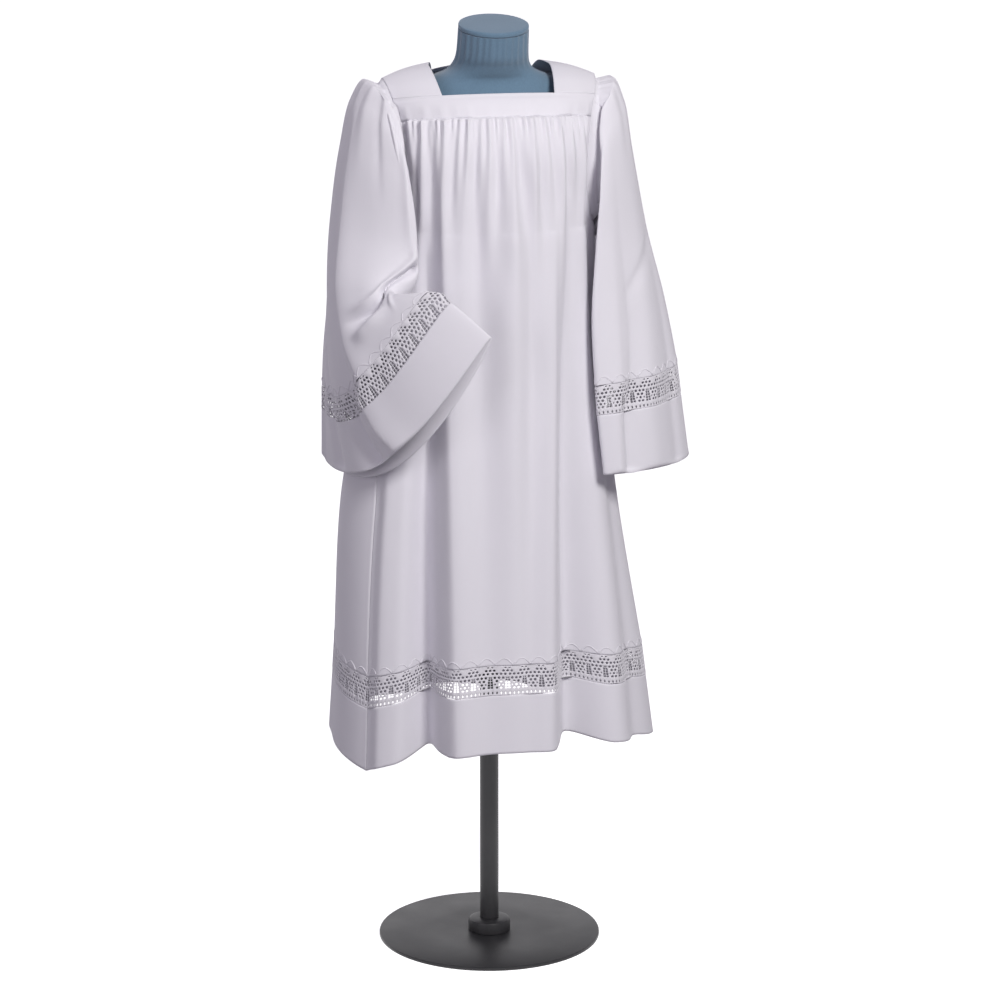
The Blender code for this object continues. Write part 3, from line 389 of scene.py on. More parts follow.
# The lights: which strength each takes and its share of it, size, place and colour
LIGHTS = {
    "key": ("key", 1.0, 1.2, (1.2, -3.7, 3.8), (1.0, 0.985, 0.975)),
    "fill": ("fill", 1.0, 2.4, (-3.6, -3.1, 2.2), (0.96, 0.92, 1.0)),
    "back": ("fill", 0.5, 2.4, (-1.6, 1.6, 3.2), (0.96, 0.92, 1.0)),
}
LIGHTS_AIM = (0.0, 0.0, 1.0)
ROOM_COLOUR = (0.93, 0.87, 1.0, 1.0)
SENSOR_WIDTH = 36.0
VIEW_MIDDLE = (0.0188, 0.0, 0.770)


# ---------------------------------------------------------------- curves
def smooth_through(knots, values, at):
    """A smooth curve through the values, which never overshoots between two of them."""
    knots, values, at = (np.asarray(x, float) for x in (knots, values, at))
    step = np.diff(knots)
    slope = np.diff(values) / step
    tangent = np.empty_like(values)
    tangent[0], tangent[-1] = slope[0], slope[-1]
    inner = (slope[:-1] * step[1:] + slope[1:] * step[:-1]) / (step[1:] + step[:-1])
    most = 3.0 * np.minimum(np.abs(slope[:-1]), np.abs(slope[1:]))
    tangent[1:-1] = np.where(slope[:-1] * slope[1:] > 0, np.clip(inner, -most, most), 0.0)
    i = np.clip(np.searchsorted(knots, at, side="right") - 1, 0, len(step) - 1)
    h = step[i]
    t = np.clip((at - knots[i]) / h, 0.0, 1.0)
    return (
        (2 * t**3 - 3 * t**2 + 1) * values[i]
        + (t**3 - 2 * t**2 + t) * h * tangent[i]
        + (3 * t**2 - 2 * t**3) * values[i + 1]
        + (t**3 - t**2) * h * tangent[i + 1]
    )


def column(table, name, at):
    """One named column of a table of sections, read smoothly at other places."""
    key = next(iter(table))
    return smooth_through(table[key], table[name], at)


def ease(t):
    """0 to 1, level at both ends."""
    t = np.clip(t, 0.0, 1.0)
    return t * t * (3 - 2 * t)


def bump(distance, half_width):
    """A soft ridge of height 1, whose foot is twice the half width away."""
    return np.exp(-0.5 * (distance / half_width) ** 2 * 1.6)


def rows_of(columns, table):
    """Each row of a table as a dictionary of its named columns."""
    return [dict(zip(columns, row)) for row in table]


def wander(seed, at, steps, size):
    """A slow, fixed-seed wobble along a line, for what is never quite even in cloth."""
    knots = np.random.default_rng(seed).uniform(-1.0, 1.0, steps + 1) * size
    low, high = float(np.min(at)), float(np.max(at))
    return smooth_through(np.linspace(low, high + 1e-9, steps + 1), knots, at)


# ---------------------------------------------------------------- body
def below_share(v):
    """0 at the yoke seam and 1 at the hem, in proportion to the length of cloth."""
    return smooth_through((0.0, 1.0, 2.0, 3.0, 4.0, 5.0), (0.0, 0.0, 0.19, 0.86, 0.905, 1.0), v)


def fold_height(folds, gathers, place, below_seam, v):
    """How far the cloth stands out at a distance along the section and below the yoke."""
    high = np.zeros_like(place)
    share = below_share(v)
    down = np.clip((v - YOKE_SEAM) / (HEM - YOKE_SEAM), 0.0, 1.0)
    for fold in rows_of(FOLD_COLUMNS, folds):
        centre = fold["chest"] + (fold["hem"] - fold["chest"]) * share
        right, left = (
            fold["chest_" + k] + (fold["hem_" + k] - fold["chest_" + k]) * share for k in ("right", "left")
        )
        depth = smooth_through(
            FOLD_STOPS, (0.0, fold["chest_depth"], fold["knee_depth"], fold["hem_depth"]), share
        )
        away = place - centre
        high += ease(below_seam / FOLD_OPENS) * depth * bump(away, np.where(away < 0, right, left))
    for gather in rows_of(GATHER_COLUMNS, gathers):
        run = np.clip(below_seam / (GATHER_LONGER * gather["reach"]), 0.0, 1.5)
        opening = ease(below_seam / GATHER_START)
        fading = 1.0 - ease((run - GATHER_WHOLE) / GATHER_FADES)
        centre = gather["place"] * (1 + GATHER_DRIFT * down) + gather["slant"] * run
        ridge = bump(place - centre, gather["width"] * (1.0 + GATHER_SPREAD * run))
        high += GATHER_DEEPER * gather["depth"] * opening * fading * ridge
    crowding = place * GATHER_RATE
    for size, rate, phase in GATHER_SWAY:
        crowding = crowding + size * np.sin(place * rate + phase)
    shown = ease(below_seam / GATHER_FINE_START) * (1.0 - ease(below_seam / GATHER_FINE_REACH))
    return high + GATHER_FINE * shown * np.sin(crowding)


def body_surface(rows, folds, gathers, towards, u, v, yoke=False):
    """Points of the front (towards -1) or back (towards +1), for grids of u and v."""
    z_mid, depth, fall = (column(rows, name, v) for name in ("z", "depth", "fall"))
    half = np.where(u < 0, column(rows, "right_half", v), column(rows, "left_half", v))
    end = np.where(u < 0, column(rows, "right_end", v), column(rows, "left_end", v))
    turn = np.radians(end) * u
    x, y = half * np.sin(turn), towards * depth * np.cos(turn)
    if yoke:
        return np.stack([x, y, z_mid - fall * u**2], axis=-1)
    out_x, out_y = np.sin(turn) / half, towards * np.cos(turn) / depth
    length = np.hypot(out_x, out_y)
    place = np.cumsum(
        np.hypot(np.diff(x, axis=1, prepend=x[:, :1]), np.diff(y, axis=1, prepend=y[:, :1])), axis=1
    )
    place = place - np.array([np.interp(0.0, u[i], place[i]) for i in range(len(u))])[:, None]
    seam_z = float(column(rows, "z", [YOKE_SEAM])[0])
    high = fold_height(folds, gathers, place, np.clip(seam_z - z_mid, 0.0, None), v)
    high = high * (1.0 - ease((np.abs(u) - EDGE_EASE) / (1.0 - EDGE_EASE)))
    lift = FOLD_LIFT * np.clip(-high, 0.0, None) * ease((v - UNDERARM) / (HEM - UNDERARM))
    return np.stack(
        [x + high * out_x / length, y + high * out_y / length, z_mid - fall * u**2 + lift], axis=-1
    )


SIDES = {
    "front": (FRONT_ROWS, FRONT_FOLDS, FRONT_GATHERS, -1),
    "back": (BACK_ROWS, BACK_FOLDS, BACK_GATHERS, 1),
}


def body_grid(side, v, u, yoke=False):
    """The body's points for rows v and columns u, with the back's side edges on the front's."""
    grid_v, grid_u = np.meshgrid(v, u, indexing="ij")
    points = body_surface(*SIDES[side], grid_u, grid_v, yoke)
    if side == "back":
        edges = body_surface(*SIDES["front"], grid_u[:, [0, -1]], grid_v[:, [0, -1]], yoke)
        shift = (edges - points[:, [0, -1]]) * ease((v - JOIN_FROM) / JOIN_OVER)[:, None, None]
        for k, sign in ((0, -1), (1, 1)):
            near = (1 - ease((1 - np.abs(u)) / JOIN_REACH)) * (np.sign(u) == sign)
            points += shift[:, k, None] * near[None, :, None]
    return points


# ---------------------------------------------------------------- straps and sleeves
def strap_grid(sign, front_edge, back_edge, steps_along):
    """The strap's points from the front yoke's edge to the back yoke's edge, both given."""
    t = np.linspace(0.0, 1.0, steps_along + 1)
    share = np.linspace(0.0, 1.0, front_edge.shape[0])
    line = {
        side: np.stack([column(STRAP_ROWS, side + axis, t) for axis in ("_x", "_y", "_z")], axis=-1)
        * np.array([sign, 1.0, 1.0])
        for side in ("inner", "outer")
    }
    rows = line["inner"][:, None] + (line["outer"] - line["inner"])[:, None] * share[None, :, None]
    rows[..., 2] += STRAP_CROWN * np.sin(math.pi * share)[None, :] * np.sin(math.pi * t)[:, None]
    fade = t[:, None, None]
    first, last = front_edge - rows[0], back_edge - rows[-1]
    return rows + first * (1 - ease(fade / 0.5)) + last * ease((fade - 0.5) / 0.5)


def guide(table, name, w):
    return np.stack([column(table, name + axis, w) for axis in ("_x", "_y", "_z")], axis=-1)


def sleeve_loops(table, armhole, turns, w):
    """Loops of the sleeve: w down the sleeve, turns in degrees round it, from the armhole's points."""
    front, outer, rear, inner = (guide(table, n, w)[:, None] for n in ("front", "outer", "rear", "inner"))
    middle = (front + outer + rear + inner) / 4
    a = np.radians(turns)[None, :, None]
    loops = (
        middle
        + (front - rear) / 2 * np.cos(a)
        + (outer - inner) / 2 * np.sin(a)
        + (front + rear - outer - inner) / 4 * np.cos(2 * a)
    )
    loops += (armhole[None] - loops[:1]) * (1 - ease(w / SLEEVE_LEAVES))[:, None, None]
    return loops


def loop_normals(points):
    """Outward normals of loops that close on themselves."""
    down = np.gradient(points, axis=0)
    wide = np.concatenate([points[:, -1:], points, points[:, :1]], axis=1)
    around = (wide[:, 2:] - wide[:, :-2]) / 2
    normal = np.cross(down, around)
    normal /= np.maximum(np.linalg.norm(normal, axis=-1, keepdims=True), 1e-9)
    centre = points.mean(axis=1, keepdims=True)
    sign = np.sign(((points - centre) * normal).sum(axis=(1, 2)))
    return normal * np.sign(np.median(sign))


def pleat_height(turns, w):
    """The pleats of the sleeve head."""
    high = np.zeros((len(w), len(turns)))
    for pleat in rows_of(PLEAT_COLUMNS, HEAD_PLEATS):
        rise = ease(w / PLEAT_OPENS) * (1 - ease((w - PLEAT_FROM) / pleat["reach"]))
        spread = pleat["width"] * (1 + PLEAT_SPREAD * np.clip(w / pleat["reach"], 0, 1))
        ridge = bump((turns - pleat["turn"])[None, :], spread[:, None])
        high += pleat["depth"] * rise[:, None] * (ridge - PLEAT_SUNK)
    return high


def armhole_loop(sign, front_v, strap):
    """The armhole's points and their turns: up the front, over the strap, down the back."""
    edge = -1 if sign > 0 else 0
    u = np.array([-1.0, -0.999, 0.999, 1.0])
    v = front_v[front_v <= UNDERARM + 1e-9]
    steps = np.concatenate([np.linspace(0, 1, 3), np.linspace(1, 2, 8)[1:]])
    place = np.interp(v, steps, np.arange(len(steps))) / (len(steps) - 1)
    front = body_grid("front", v, u)[:, edge]
    back = body_grid("back", v, u)[:, edge]
    points = np.concatenate([front[::-1], strap[1:-1, -1], back[:-1]])
    turns = np.concatenate(
        [
            -90.0 + (STRAP_TURN + 90.0) * (1 - place[::-1]),
            np.linspace(STRAP_TURN, 180.0 - STRAP_TURN, len(strap))[1:-1],
            (180.0 - STRAP_TURN) + (90.0 + STRAP_TURN) * place[:-1],
        ]
    )
    return points, turns


# ---------------------------------------------------------------- meshes
def link(name, mesh):
    made = bpy.data.objects.new(name, mesh)
    bpy.context.scene.collection.objects.link(made)
    return made


def spans(points, axis):
    """The distance from the first line of a grid to each line, along its middle."""
    steps = np.linalg.norm(np.diff(points, axis=axis), axis=-1)
    return np.concatenate([[0.0], np.cumsum(steps.mean(axis=1 - axis))])


def cloth_mesh(name, points, finish, closed=False, flip=False):
    """A grid of points as one smooth sheet, with its own UV map in metres along the cloth."""
    rows, columns = points.shape[:2]
    across, down = spans(points, 1), spans(points, 0)
    wrap = columns if closed else columns - 1
    if closed:
        seam = float(np.linalg.norm(points[:, 0] - points[:, -1], axis=-1).mean())
        across = np.append(across, across[-1] + seam)
    i, j = np.meshgrid(np.arange(rows - 1), np.arange(wrap), indexing="ij")
    i, j = i.ravel(), j.ravel()
    corners = ((i, j), (i, j + 1), (i + 1, j + 1), (i + 1, j))
    quads = np.stack([row * columns + at % columns for row, at in corners], axis=1)
    flat = np.stack([np.stack([across[at], -down[row]], axis=1) for row, at in corners], axis=1)
    if flip:
        quads, flat = quads[:, ::-1], flat[:, ::-1]
    else:
        flat[..., 0] *= -1.0
    mesh = bpy.data.meshes.new(name)
    mesh.from_pydata(points.reshape(-1, 3).tolist(), [], quads.tolist())
    layer = mesh.uv_layers.new(name="cloth")
    layer.data.foreach_set("uv", flat.reshape(-1).astype(np.float32))
    mesh.shade_smooth()
    mesh.materials.append(finish)
    return link(name, mesh)


def add_wall(piece, thickness):
    """Gives a sheet its thickness, with the outer face left where it is."""
    solid = piece.modifiers.new("wall", "SOLIDIFY")
    solid.thickness, solid.offset, solid.use_even_offset = thickness, -1.0, False


def applied(piece):
    """Makes what the modifiers show the piece's own mesh."""
    graph = bpy.context.evaluated_depsgraph_get()
    mesh = bpy.data.meshes.new_from_object(
        piece.evaluated_get(graph), preserve_all_data_layers=True, depsgraph=graph
    )
    piece.modifiers.clear()
    piece.data = mesh


def ring_faces(count, sides):
    """The faces through rings of points, with both ends filled."""
    faces = [
        [i * sides + k, i * sides + (k + 1) % sides, (i + 1) * sides + (k + 1) % sides, (i + 1) * sides + k]
        for i in range(count - 1)
        for k in range(sides)
    ]
    return faces + [list(range(sides))[::-1], [(count - 1) * sides + k for k in range(sides)]]


def finish_piece(piece, nodes, slot_name):
    """Rides the piece on the frame in place of its CAD nodes."""
    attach(piece, "root")
    if nodes:
        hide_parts(*nodes)


def add_node(tree, kind, settings=None, sockets=None):
    """Adds a node with its settings, then its sockets' values or links."""
    made = tree.nodes.new(kind)
    for key, value in (settings or {}).items():
        setattr(made, key, value)
    for key, value in (sockets or {}).items():
        give(tree, made.inputs[key], value)
    return made


def give(tree, socket, value):
    if isinstance(value, bpy.types.NodeSocket):
        tree.links.new(value, socket)
    else:
        socket.default_value = value


# ---------------------------------------------------------------- finishes
class Wire:
    """A socket of a finish in an expression; each operation on it adds its Math node."""

    def __init__(self, finish, socket):
        self.finish, self.socket = finish, socket

    def maths(self, operation, *values):
        return self.finish.node("ShaderNodeMath", {"operation": operation}, dict(enumerate(values)))

    def __add__(self, other):
        return self.maths("ADD", self, other)

    def __sub__(self, other):
        return self.maths("SUBTRACT", self, other)

    def __rsub__(self, other):
        return self.maths("SUBTRACT", other, self)

    def __mul__(self, other):
        return self.maths("MULTIPLY", self, other)

    def __pow__(self, other):
        return self.maths("POWER", self, other)

    __radd__, __rmul__ = __add__, __mul__

    def sine(self):
        return self.maths("SINE", self)

    def size(self):
        return self.maths("ABSOLUTE", self)


def end_of(value):
    """The socket of a wire, or the value itself."""
    return value.socket if isinstance(value, Wire) else value


class Finish:
    """A material being made, with its shader and its bump."""

    def __init__(self, name):
        self.material = bpy.data.materials.new(name)
        self.material.use_nodes = True
        self.tree = self.material.node_tree
        self.shader = self.tree.nodes["Principled BSDF"]

    def node(self, kind, settings=None, sockets=None, out=0):
        """Adds a node and gives one of its outputs as a wire."""
        ends = {key: end_of(value) for key, value in (sockets or {}).items()}
        return Wire(self, add_node(self.tree, kind, settings, ends).outputs[out])

    def along_cloth(self):
        """The cloth's own coordinates, in metres across and down it."""
        flat = self.node("ShaderNodeUVMap", {"uv_map": "cloth"})
        across = self.node("ShaderNodeSeparateXYZ", None, {0: flat}, 0)
        down = self.node("ShaderNodeSeparateXYZ", None, {0: flat}, 1)
        return flat, across, down

    def in_place(self):
        return self.node("ShaderNodeTexCoord", None, None, "Object")

    def grain(self, where, scale, detail=3.0, stretch=(1.0, 1.0, 1.0)):
        """Fractal noise at a place, stretched along its axes."""
        turned = self.node("ShaderNodeVectorMath", {"operation": "MULTIPLY"}, {0: where, 1: stretch})
        return self.node(
            "ShaderNodeTexNoise",
            {"noise_dimensions": "3D"},
            {"Vector": turned, "Scale": scale, "Detail": detail, "Roughness": 0.55},
        )

    def blend(self, share, first, second):
        """A colour between two, where share is 0 to 1."""
        return self.node("ShaderNodeMix", {"data_type": "RGBA"}, {"Factor": share, 6: first, 7: second}, 2)

    def surface(self, colour, roughness, height=None, depth=0.0001, strength=1.0, constants=None):
        """Feeds the shader: colour and roughness may vary, the rest are constants on its own sockets."""
        ends = {"Base Color": colour, "Roughness": roughness, **(constants or {})}
        if height is not None:
            ends["Normal"] = self.node(
                "ShaderNodeBump", None, {"Height": height, "Distance": depth, "Strength": strength}
            )
        for key, value in ends.items():
            give(self.tree, self.shader.inputs[key], end_of(value))
        return self.material


def shade(colour, share):
    """A colour made darker or lighter by a share."""
    return (colour[0] * share, colour[1] * share, colour[2] * share, 1.0)


def cloth_finish(name, colour, roughness, weave, crease_depth):
    """Fine plain-weave cotton: over and under threads, slubs, soft crinkle and a little nap."""
    finish = Finish(name)
    flat, across, down = finish.along_cloth()
    turn = 2 * math.pi / weave
    warp, weft = (across * turn).sine(), (down * turn).sine()
    threads = warp * weft
    slub_across = finish.grain(flat, 90.0, 2.0, (1.0, 14.0, 1.0))
    slub_down = finish.grain(flat, 90.0, 2.0, (14.0, 1.0, 1.0))
    crinkle = finish.grain(flat, 26.0, 4.0, (1.0, 0.6, 1.0))
    height = threads * 0.16 + slub_across * 0.35 + slub_down * 0.35 + crinkle * crease_depth
    tone = slub_across * 0.3 + slub_down * 0.3 + crinkle * 0.4
    shown = finish.blend(tone, shade(colour, 0.965), shade(colour, 1.03))
    return finish.surface(
        shown,
        tone * 0.12 + (roughness - 0.06),
        height,
        depth=0.00035,
        strength=0.55,
        constants={"Sheen Weight": 0.18, "Sheen Roughness": 0.45, "Specular IOR Level": 0.25},
    )


def lace_finish(name, colour, roughness):
    """Corded cotton lace: fine threads wound slantwise, with painted shade making it a little darker between
    them.
    """
    finish = Finish(name)
    where = finish.in_place()
    wound = finish.grain(where, 900.0, 2.0, (1.0, 1.0, 0.35))
    lumps = finish.grain(where, 260.0, 2.0)
    # The colour follows the thread relief and is darker where the relief is low: painted shade between the
    # threads.
    return finish.surface(
        finish.blend(wound * 0.6 + lumps * 0.4, shade(colour, 0.90), shade(colour, 1.04)),
        lumps * 0.10 + (roughness - 0.05),
        wound * 0.6 + lumps * 0.6,
        depth=0.0003,
        strength=0.6,
        constants={"Sheen Weight": 0.15, "Sheen Roughness": 0.5, "Specular IOR Level": 0.25},
    )


def jersey_finish(name, colour, roughness):
    """Marled stretch jersey: fine upright ribs of knitted loops, in two near tones."""
    finish = Finish(name)
    where = finish.in_place()
    across = finish.node("ShaderNodeSeparateXYZ", None, {0: where}, 0)
    up = finish.node("ShaderNodeSeparateXYZ", None, {0: where}, 2)
    ribs = (across * (2 * math.pi / 0.0016)).sine().size()
    loops = (up * (2 * math.pi / 0.0012) + (across * (2 * math.pi / 0.0016)).sine()).sine()
    marl = finish.grain(where, 420.0, 3.0, (1.0, 1.0, 0.5))
    worn = finish.grain(where, 22.0, 3.0)
    return finish.surface(
        finish.blend(marl * 0.65 + worn * 0.35, shade(colour, 0.78), shade(colour, 1.24)),
        marl * 0.1 + (roughness - 0.05),
        ribs * 0.5 + loops * 0.2 + marl * 0.5,
        depth=0.0003,
        strength=0.5,
        constants={"Sheen Weight": 0.35, "Sheen Roughness": 0.5, "Specular IOR Level": 0.3},
    )


def powder_coat_finish(name, colour, roughness):
    """Satin black powder coat on steel, with its fine orange peel and slight rubbing."""
    finish = Finish(name)
    where = finish.in_place()
    peel = finish.grain(where, 420.0, 2.0)
    rubbed = finish.grain(where, 16.0, 4.0)
    return finish.surface(
        finish.blend(rubbed, shade(colour, 0.85), shade(colour, 1.3)),
        rubbed * 0.16 + (roughness - 0.08),
        peel,
        depth=0.0002,
        strength=0.35,
        constants={"Specular IOR Level": 0.5},
    )


def paper_finish(name, colour, glow=0.0):
    """The plain matt sweep that the stand is set on."""
    finish = Finish(name)
    tooth = finish.grain(finish.in_place(), 3.0, 2.0)
    finish.shader.inputs["Emission Color"].default_value = (*colour[:3], 1.0)
    finish.shader.inputs["Emission Strength"].default_value = glow
    return finish.surface(finish.blend(tooth, shade(colour, 0.995), shade(colour, 1.0)), 0.95)


# ---------------------------------------------------------------- repeats laid along the cloth
def cloth_layer_tree():
    """Lays copies of a motif in a row along a cloth, by the cloth's own coordinates.

    The motif is drawn flat: x along the row, y up the cloth and z proud of it, in metres."""
    tree = bpy.data.node_groups.new("Lay Along Cloth", "GeometryNodeTree")
    face = tree.interface
    face.new_socket("Geometry", in_out="OUTPUT", socket_type="NodeSocketGeometry")
    kinds = {"Geometry": "Geometry", "Cloth": "Object", "Count": "Int", "Finish": "Material"}
    names = "Geometry Cloth Pitch Count Start Row Low High Bottom Merge Finish"
    for name in names.split():
        face.new_socket(name, in_out="INPUT", socket_type="NodeSocket" + kinds.get(name, "Float"))

    def node(*given):
        return add_node(tree, *given)

    given = node("NodeGroupInput").outputs
    step = node("ShaderNodeCombineXYZ", None, {"X": given["Pitch"]}).outputs[0]
    first = node("ShaderNodeCombineXYZ", None, {"X": given["Start"], "Y": given["Row"]}).outputs[0]
    line = node(
        "GeometryNodeMeshLine",
        {"mode": "OFFSET"},
        {"Count": given["Count"], "Start Location": first, "Offset": step},
    )
    copies = node(
        "GeometryNodeInstanceOnPoints", None, {"Points": line.outputs[0], "Instance": given["Geometry"]}
    )
    real = node("GeometryNodeRealizeInstances", None, {0: copies.outputs[0]})
    joined = node("GeometryNodeMergeByDistance", None, {0: real.outputs[0], "Distance": given["Merge"]})
    shown = node("GeometryNodeObjectInfo", {"transform_space": "ORIGINAL"}, {0: given["Cloth"]})
    cloth = shown.outputs["Geometry"]
    place = node("GeometryNodeInputPosition").outputs[0]
    apart = node("ShaderNodeSeparateXYZ", None, {0: place}).outputs

    def kept_in(value, least, most):
        return node("ShaderNodeClamp", None, {"Value": value, "Min": least, "Max": most}).outputs[0]

    across = kept_in(apart[0], given["Low"], given["High"])
    down = kept_in(apart[1], given["Bottom"], -EDGE_MARGIN)
    flat = node("ShaderNodeCombineXYZ", None, {"X": across, "Y": down}).outputs[0]
    vectors = {"data_type": "FLOAT_VECTOR"}
    chart = node("GeometryNodeInputNamedAttribute", vectors, {"Name": "cloth"}).outputs[0]
    found = []
    for kind in ("GeometryNodeInputPosition", "GeometryNodeInputNormal"):
        sample = node(
            "GeometryNodeSampleUVSurface",
            vectors,
            {"Mesh": cloth, "Value": node(kind).outputs[0], "UV Map": chart, "Sample UV": flat},
        )
        found.append(sample.outputs[0])
    proud = node("ShaderNodeVectorMath", {"operation": "SCALE"}, {0: found[1], "Scale": apart[2]}).outputs[0]
    there = node("ShaderNodeVectorMath", {"operation": "ADD"}, {0: found[0], 1: proud}).outputs[0]
    moved = node("GeometryNodeSetPosition", None, {0: joined.outputs[0], "Position": there})
    smooth = node("GeometryNodeSetShadeSmooth", None, {0: moved.outputs[0]})
    coloured = node("GeometryNodeSetMaterial", None, {0: smooth.outputs[0], "Material": given["Finish"]})
    node("NodeGroupOutput", None, {0: coloured.outputs[0]})
    return tree


def lay_along(name, motif, cloth, finish, pitch, count, start, row, wall=None):
    """A plain mesh of a motif repeated along a cloth."""
    tree = bpy.data.node_groups.get("Lay Along Cloth") or cloth_layer_tree()
    piece = link(name, motif)
    layer = piece.modifiers.new("along", "NODES")
    layer.node_group = tree
    low, high, depth = chart_of(cloth)
    values = {
        "Cloth": cloth, "Pitch": pitch, "Count": count, "Start": start, "Row": row, "Finish": finish,
        "Low": low + EDGE_MARGIN, "High": high - EDGE_MARGIN, "Bottom": EDGE_MARGIN - depth,
        "Merge": MERGE_WITHIN,
    }
    for item in tree.interface.items_tree:
        if item.in_out == "INPUT" and item.name in values:
            layer[item.identifier] = values[item.name]
    if wall is not None:
        add_wall(piece, wall)
    applied(piece)
    if not len(piece.data.polygons):
        raise RuntimeError(name + " came out empty")
    return piece


def joined(name, pieces):
    """Several meshes as one piece."""
    whole = bmesh.new()
    for piece in pieces:
        whole.from_mesh(piece.data)
    mesh = bpy.data.meshes.new(name)
    whole.to_mesh(mesh)
    whole.free()
    for finish in pieces[0].data.materials:
        mesh.materials.append(finish)
    mesh.shade_smooth()
    for piece in pieces:
        bpy.data.objects.remove(piece)
    return link(name, mesh)


# ---------------------------------------------------------------- motifs
def ring_points(x, y, wide, high):
    a = np.linspace(0.0, 2 * math.pi, LACE_HOLE_SIDES, endpoint=False)
    return np.stack([x + wide / 2 * np.cos(a), y + high / 2 * np.sin(a)], axis=-1)


def holes_of_lace(pitch):
    """The openings of one repeat of the lace, as loops of points; y is minus the depth from its top."""
    scale = pitch / LACE_REPEAT
    loops = []
    for row in rows_of(HOLE_COLUMNS, LACE_HOLES):
        single = row["x"] in (0.0, LACE_REPEAT / 2)
        for x in (row["x"],) if single else (row["x"], -row["x"]):
            loops.append(ring_points(x * scale, -row["depth"], row["wide"] * scale, row["high"]))
    for row in rows_of(LADDER_COLUMNS, LACE_LADDER):
        for side in (-1, 1):
            near, top, low = LADDER_THREAD / 2, -row["top"], -row["low"]
            corners = ((near, top), (row["top_half"], top), (row["low_half"], low), (near, low))
            loops.append(np.array([(side * (pitch / 2 - x * scale), y) for x, y in corners]))
    return loops


def lace_motif(pitch, height):
    """One repeat of the lace band as a flat pierced sheet, with a rounded rim round each hole."""
    holes = holes_of_lace(pitch)
    half = pitch / 2
    rows = np.linspace(0.0, -height, LACE_BORDER_STEPS + 1)
    aside = BORDER_STEP_ASIDE * np.clip(1.6 - np.abs(rows + BORDER_STEP_DEPTH) / BORDER_STEP_HALF, 0.0, 1.0)
    border = [(x - half, y) for x, y in zip(aside, rows)]
    border += [(x + half, y) for x, y in zip(aside[::-1], rows[::-1])]
    verts, edges, raised = [], [], []
    for loop in (border, *holes):
        first = len(verts)
        verts.extend(Vector((float(x), float(y))) for x, y in loop)
        raised.extend([0.0] * len(loop))
        edges.extend((first + k, first + (k + 1) % len(loop)) for k in range(len(loop)))
    for loop in holes:
        centre = loop.mean(axis=0)
        for point in loop:
            away = (point - centre) / max(np.linalg.norm(point - centre), 1e-9)
            rim = point + away * LACE_RIM
            if abs(rim[0]) < half - 0.0002 and -height + 0.0003 < rim[1] < -0.0003:
                verts.append(Vector((float(rim[0]), float(rim[1]))))
                raised.append(LACE_PILLOW)
    found = delaunay_2d_cdt(verts, edges, [], 1, 1e-6)
    points, faces, origins = found[0], found[2], found[3]
    kept = []
    for face in faces:
        x, y = (sum(points[i][k] for i in face) / len(face) for k in (0, 1))
        if not any(within(x, y, loop) for loop in holes):
            kept.append(list(face))
    heights = [max((raised[i] for i in origin), default=LACE_PILLOW) for origin in origins]
    mesh = bpy.data.meshes.new("lace_repeat")
    mesh.from_pydata([(p[0], p[1], h) for p, h in zip(points, heights)], [], kept)
    return mesh


def within(x, y, loop):
    """Whether a point is inside a loop."""
    nexts = np.roll(loop, -1, axis=0)
    crossing = (loop[:, 1] > y) != (nexts[:, 1] > y)
    with np.errstate(divide="ignore", invalid="ignore"):
        at = (nexts[:, 0] - loop[:, 0]) * (y - loop[:, 1]) / (nexts[:, 1] - loop[:, 1]) + loop[:, 0]
    return bool(np.count_nonzero(crossing & (x < at)) % 2)


def cord_motif(name, path, half_width, height, sides=6):
    """A raised thread along a flat path, half round above the cloth and closed under it."""
    path = np.asarray(path, float)
    ahead = np.gradient(path, axis=0)
    ahead /= np.linalg.norm(ahead, axis=1, keepdims=True)
    aside = np.stack([-ahead[:, 1], ahead[:, 0]], axis=-1)
    a = np.linspace(0.0, 2 * math.pi, sides, endpoint=False)
    rings = []
    for point, side in zip(path, aside):
        flat = point + side * (np.cos(a)[:, None] * half_width)
        rings.append(np.column_stack([flat, np.sin(a) * height / 2 + height * 0.2]))
    mesh = bpy.data.meshes.new(name)
    mesh.from_pydata(np.concatenate(rings).tolist(), [], ring_faces(len(rings), sides))
    whole = bmesh.new()
    whole.from_mesh(mesh)
    bmesh.ops.recalc_face_normals(whole, faces=whole.faces)
    whole.to_mesh(mesh)
    whole.free()
    return mesh


def stitch_motif(length, half_width, height):
    """One lock stitch, dipping into the cloth at both ends."""
    share = np.linspace(0.0, 1.0, 5)
    x = (share - 0.5) * length
    mesh = cord_motif("stitch", np.stack([x, np.zeros_like(x)], axis=-1), half_width, height, 5)
    for point in mesh.vertices:
        end = abs(point.co.x) / (length / 2)
        point.co.z -= height * 1.1 * end**2
    return mesh


# ---------------------------------------------------------------- sizes and colours to change
def length(name, description, default, low=0.0, high=10.0):
    kind = {"unit": "LENGTH", "subtype": "DISTANCE", "precision": 5}
    return FloatProperty(name=name, description=description, default=default, min=low, max=high, **kind)


def tint(name, description, default):
    kind = {"size": 3, "min": 0.0, "max": 1.0, "subtype": "COLOR"}
    return FloatVectorProperty(name=name, description=description, default=default, **kind)


def fraction(name, description, default):
    kind = {"min": 0.0, "max": 1.0, "subtype": "FACTOR"}
    return FloatProperty(name=name, description=description, default=default, **kind)


def amount(name, description, default, unit="NONE"):
    return FloatProperty(name=name, description=description, default=default, unit=unit)


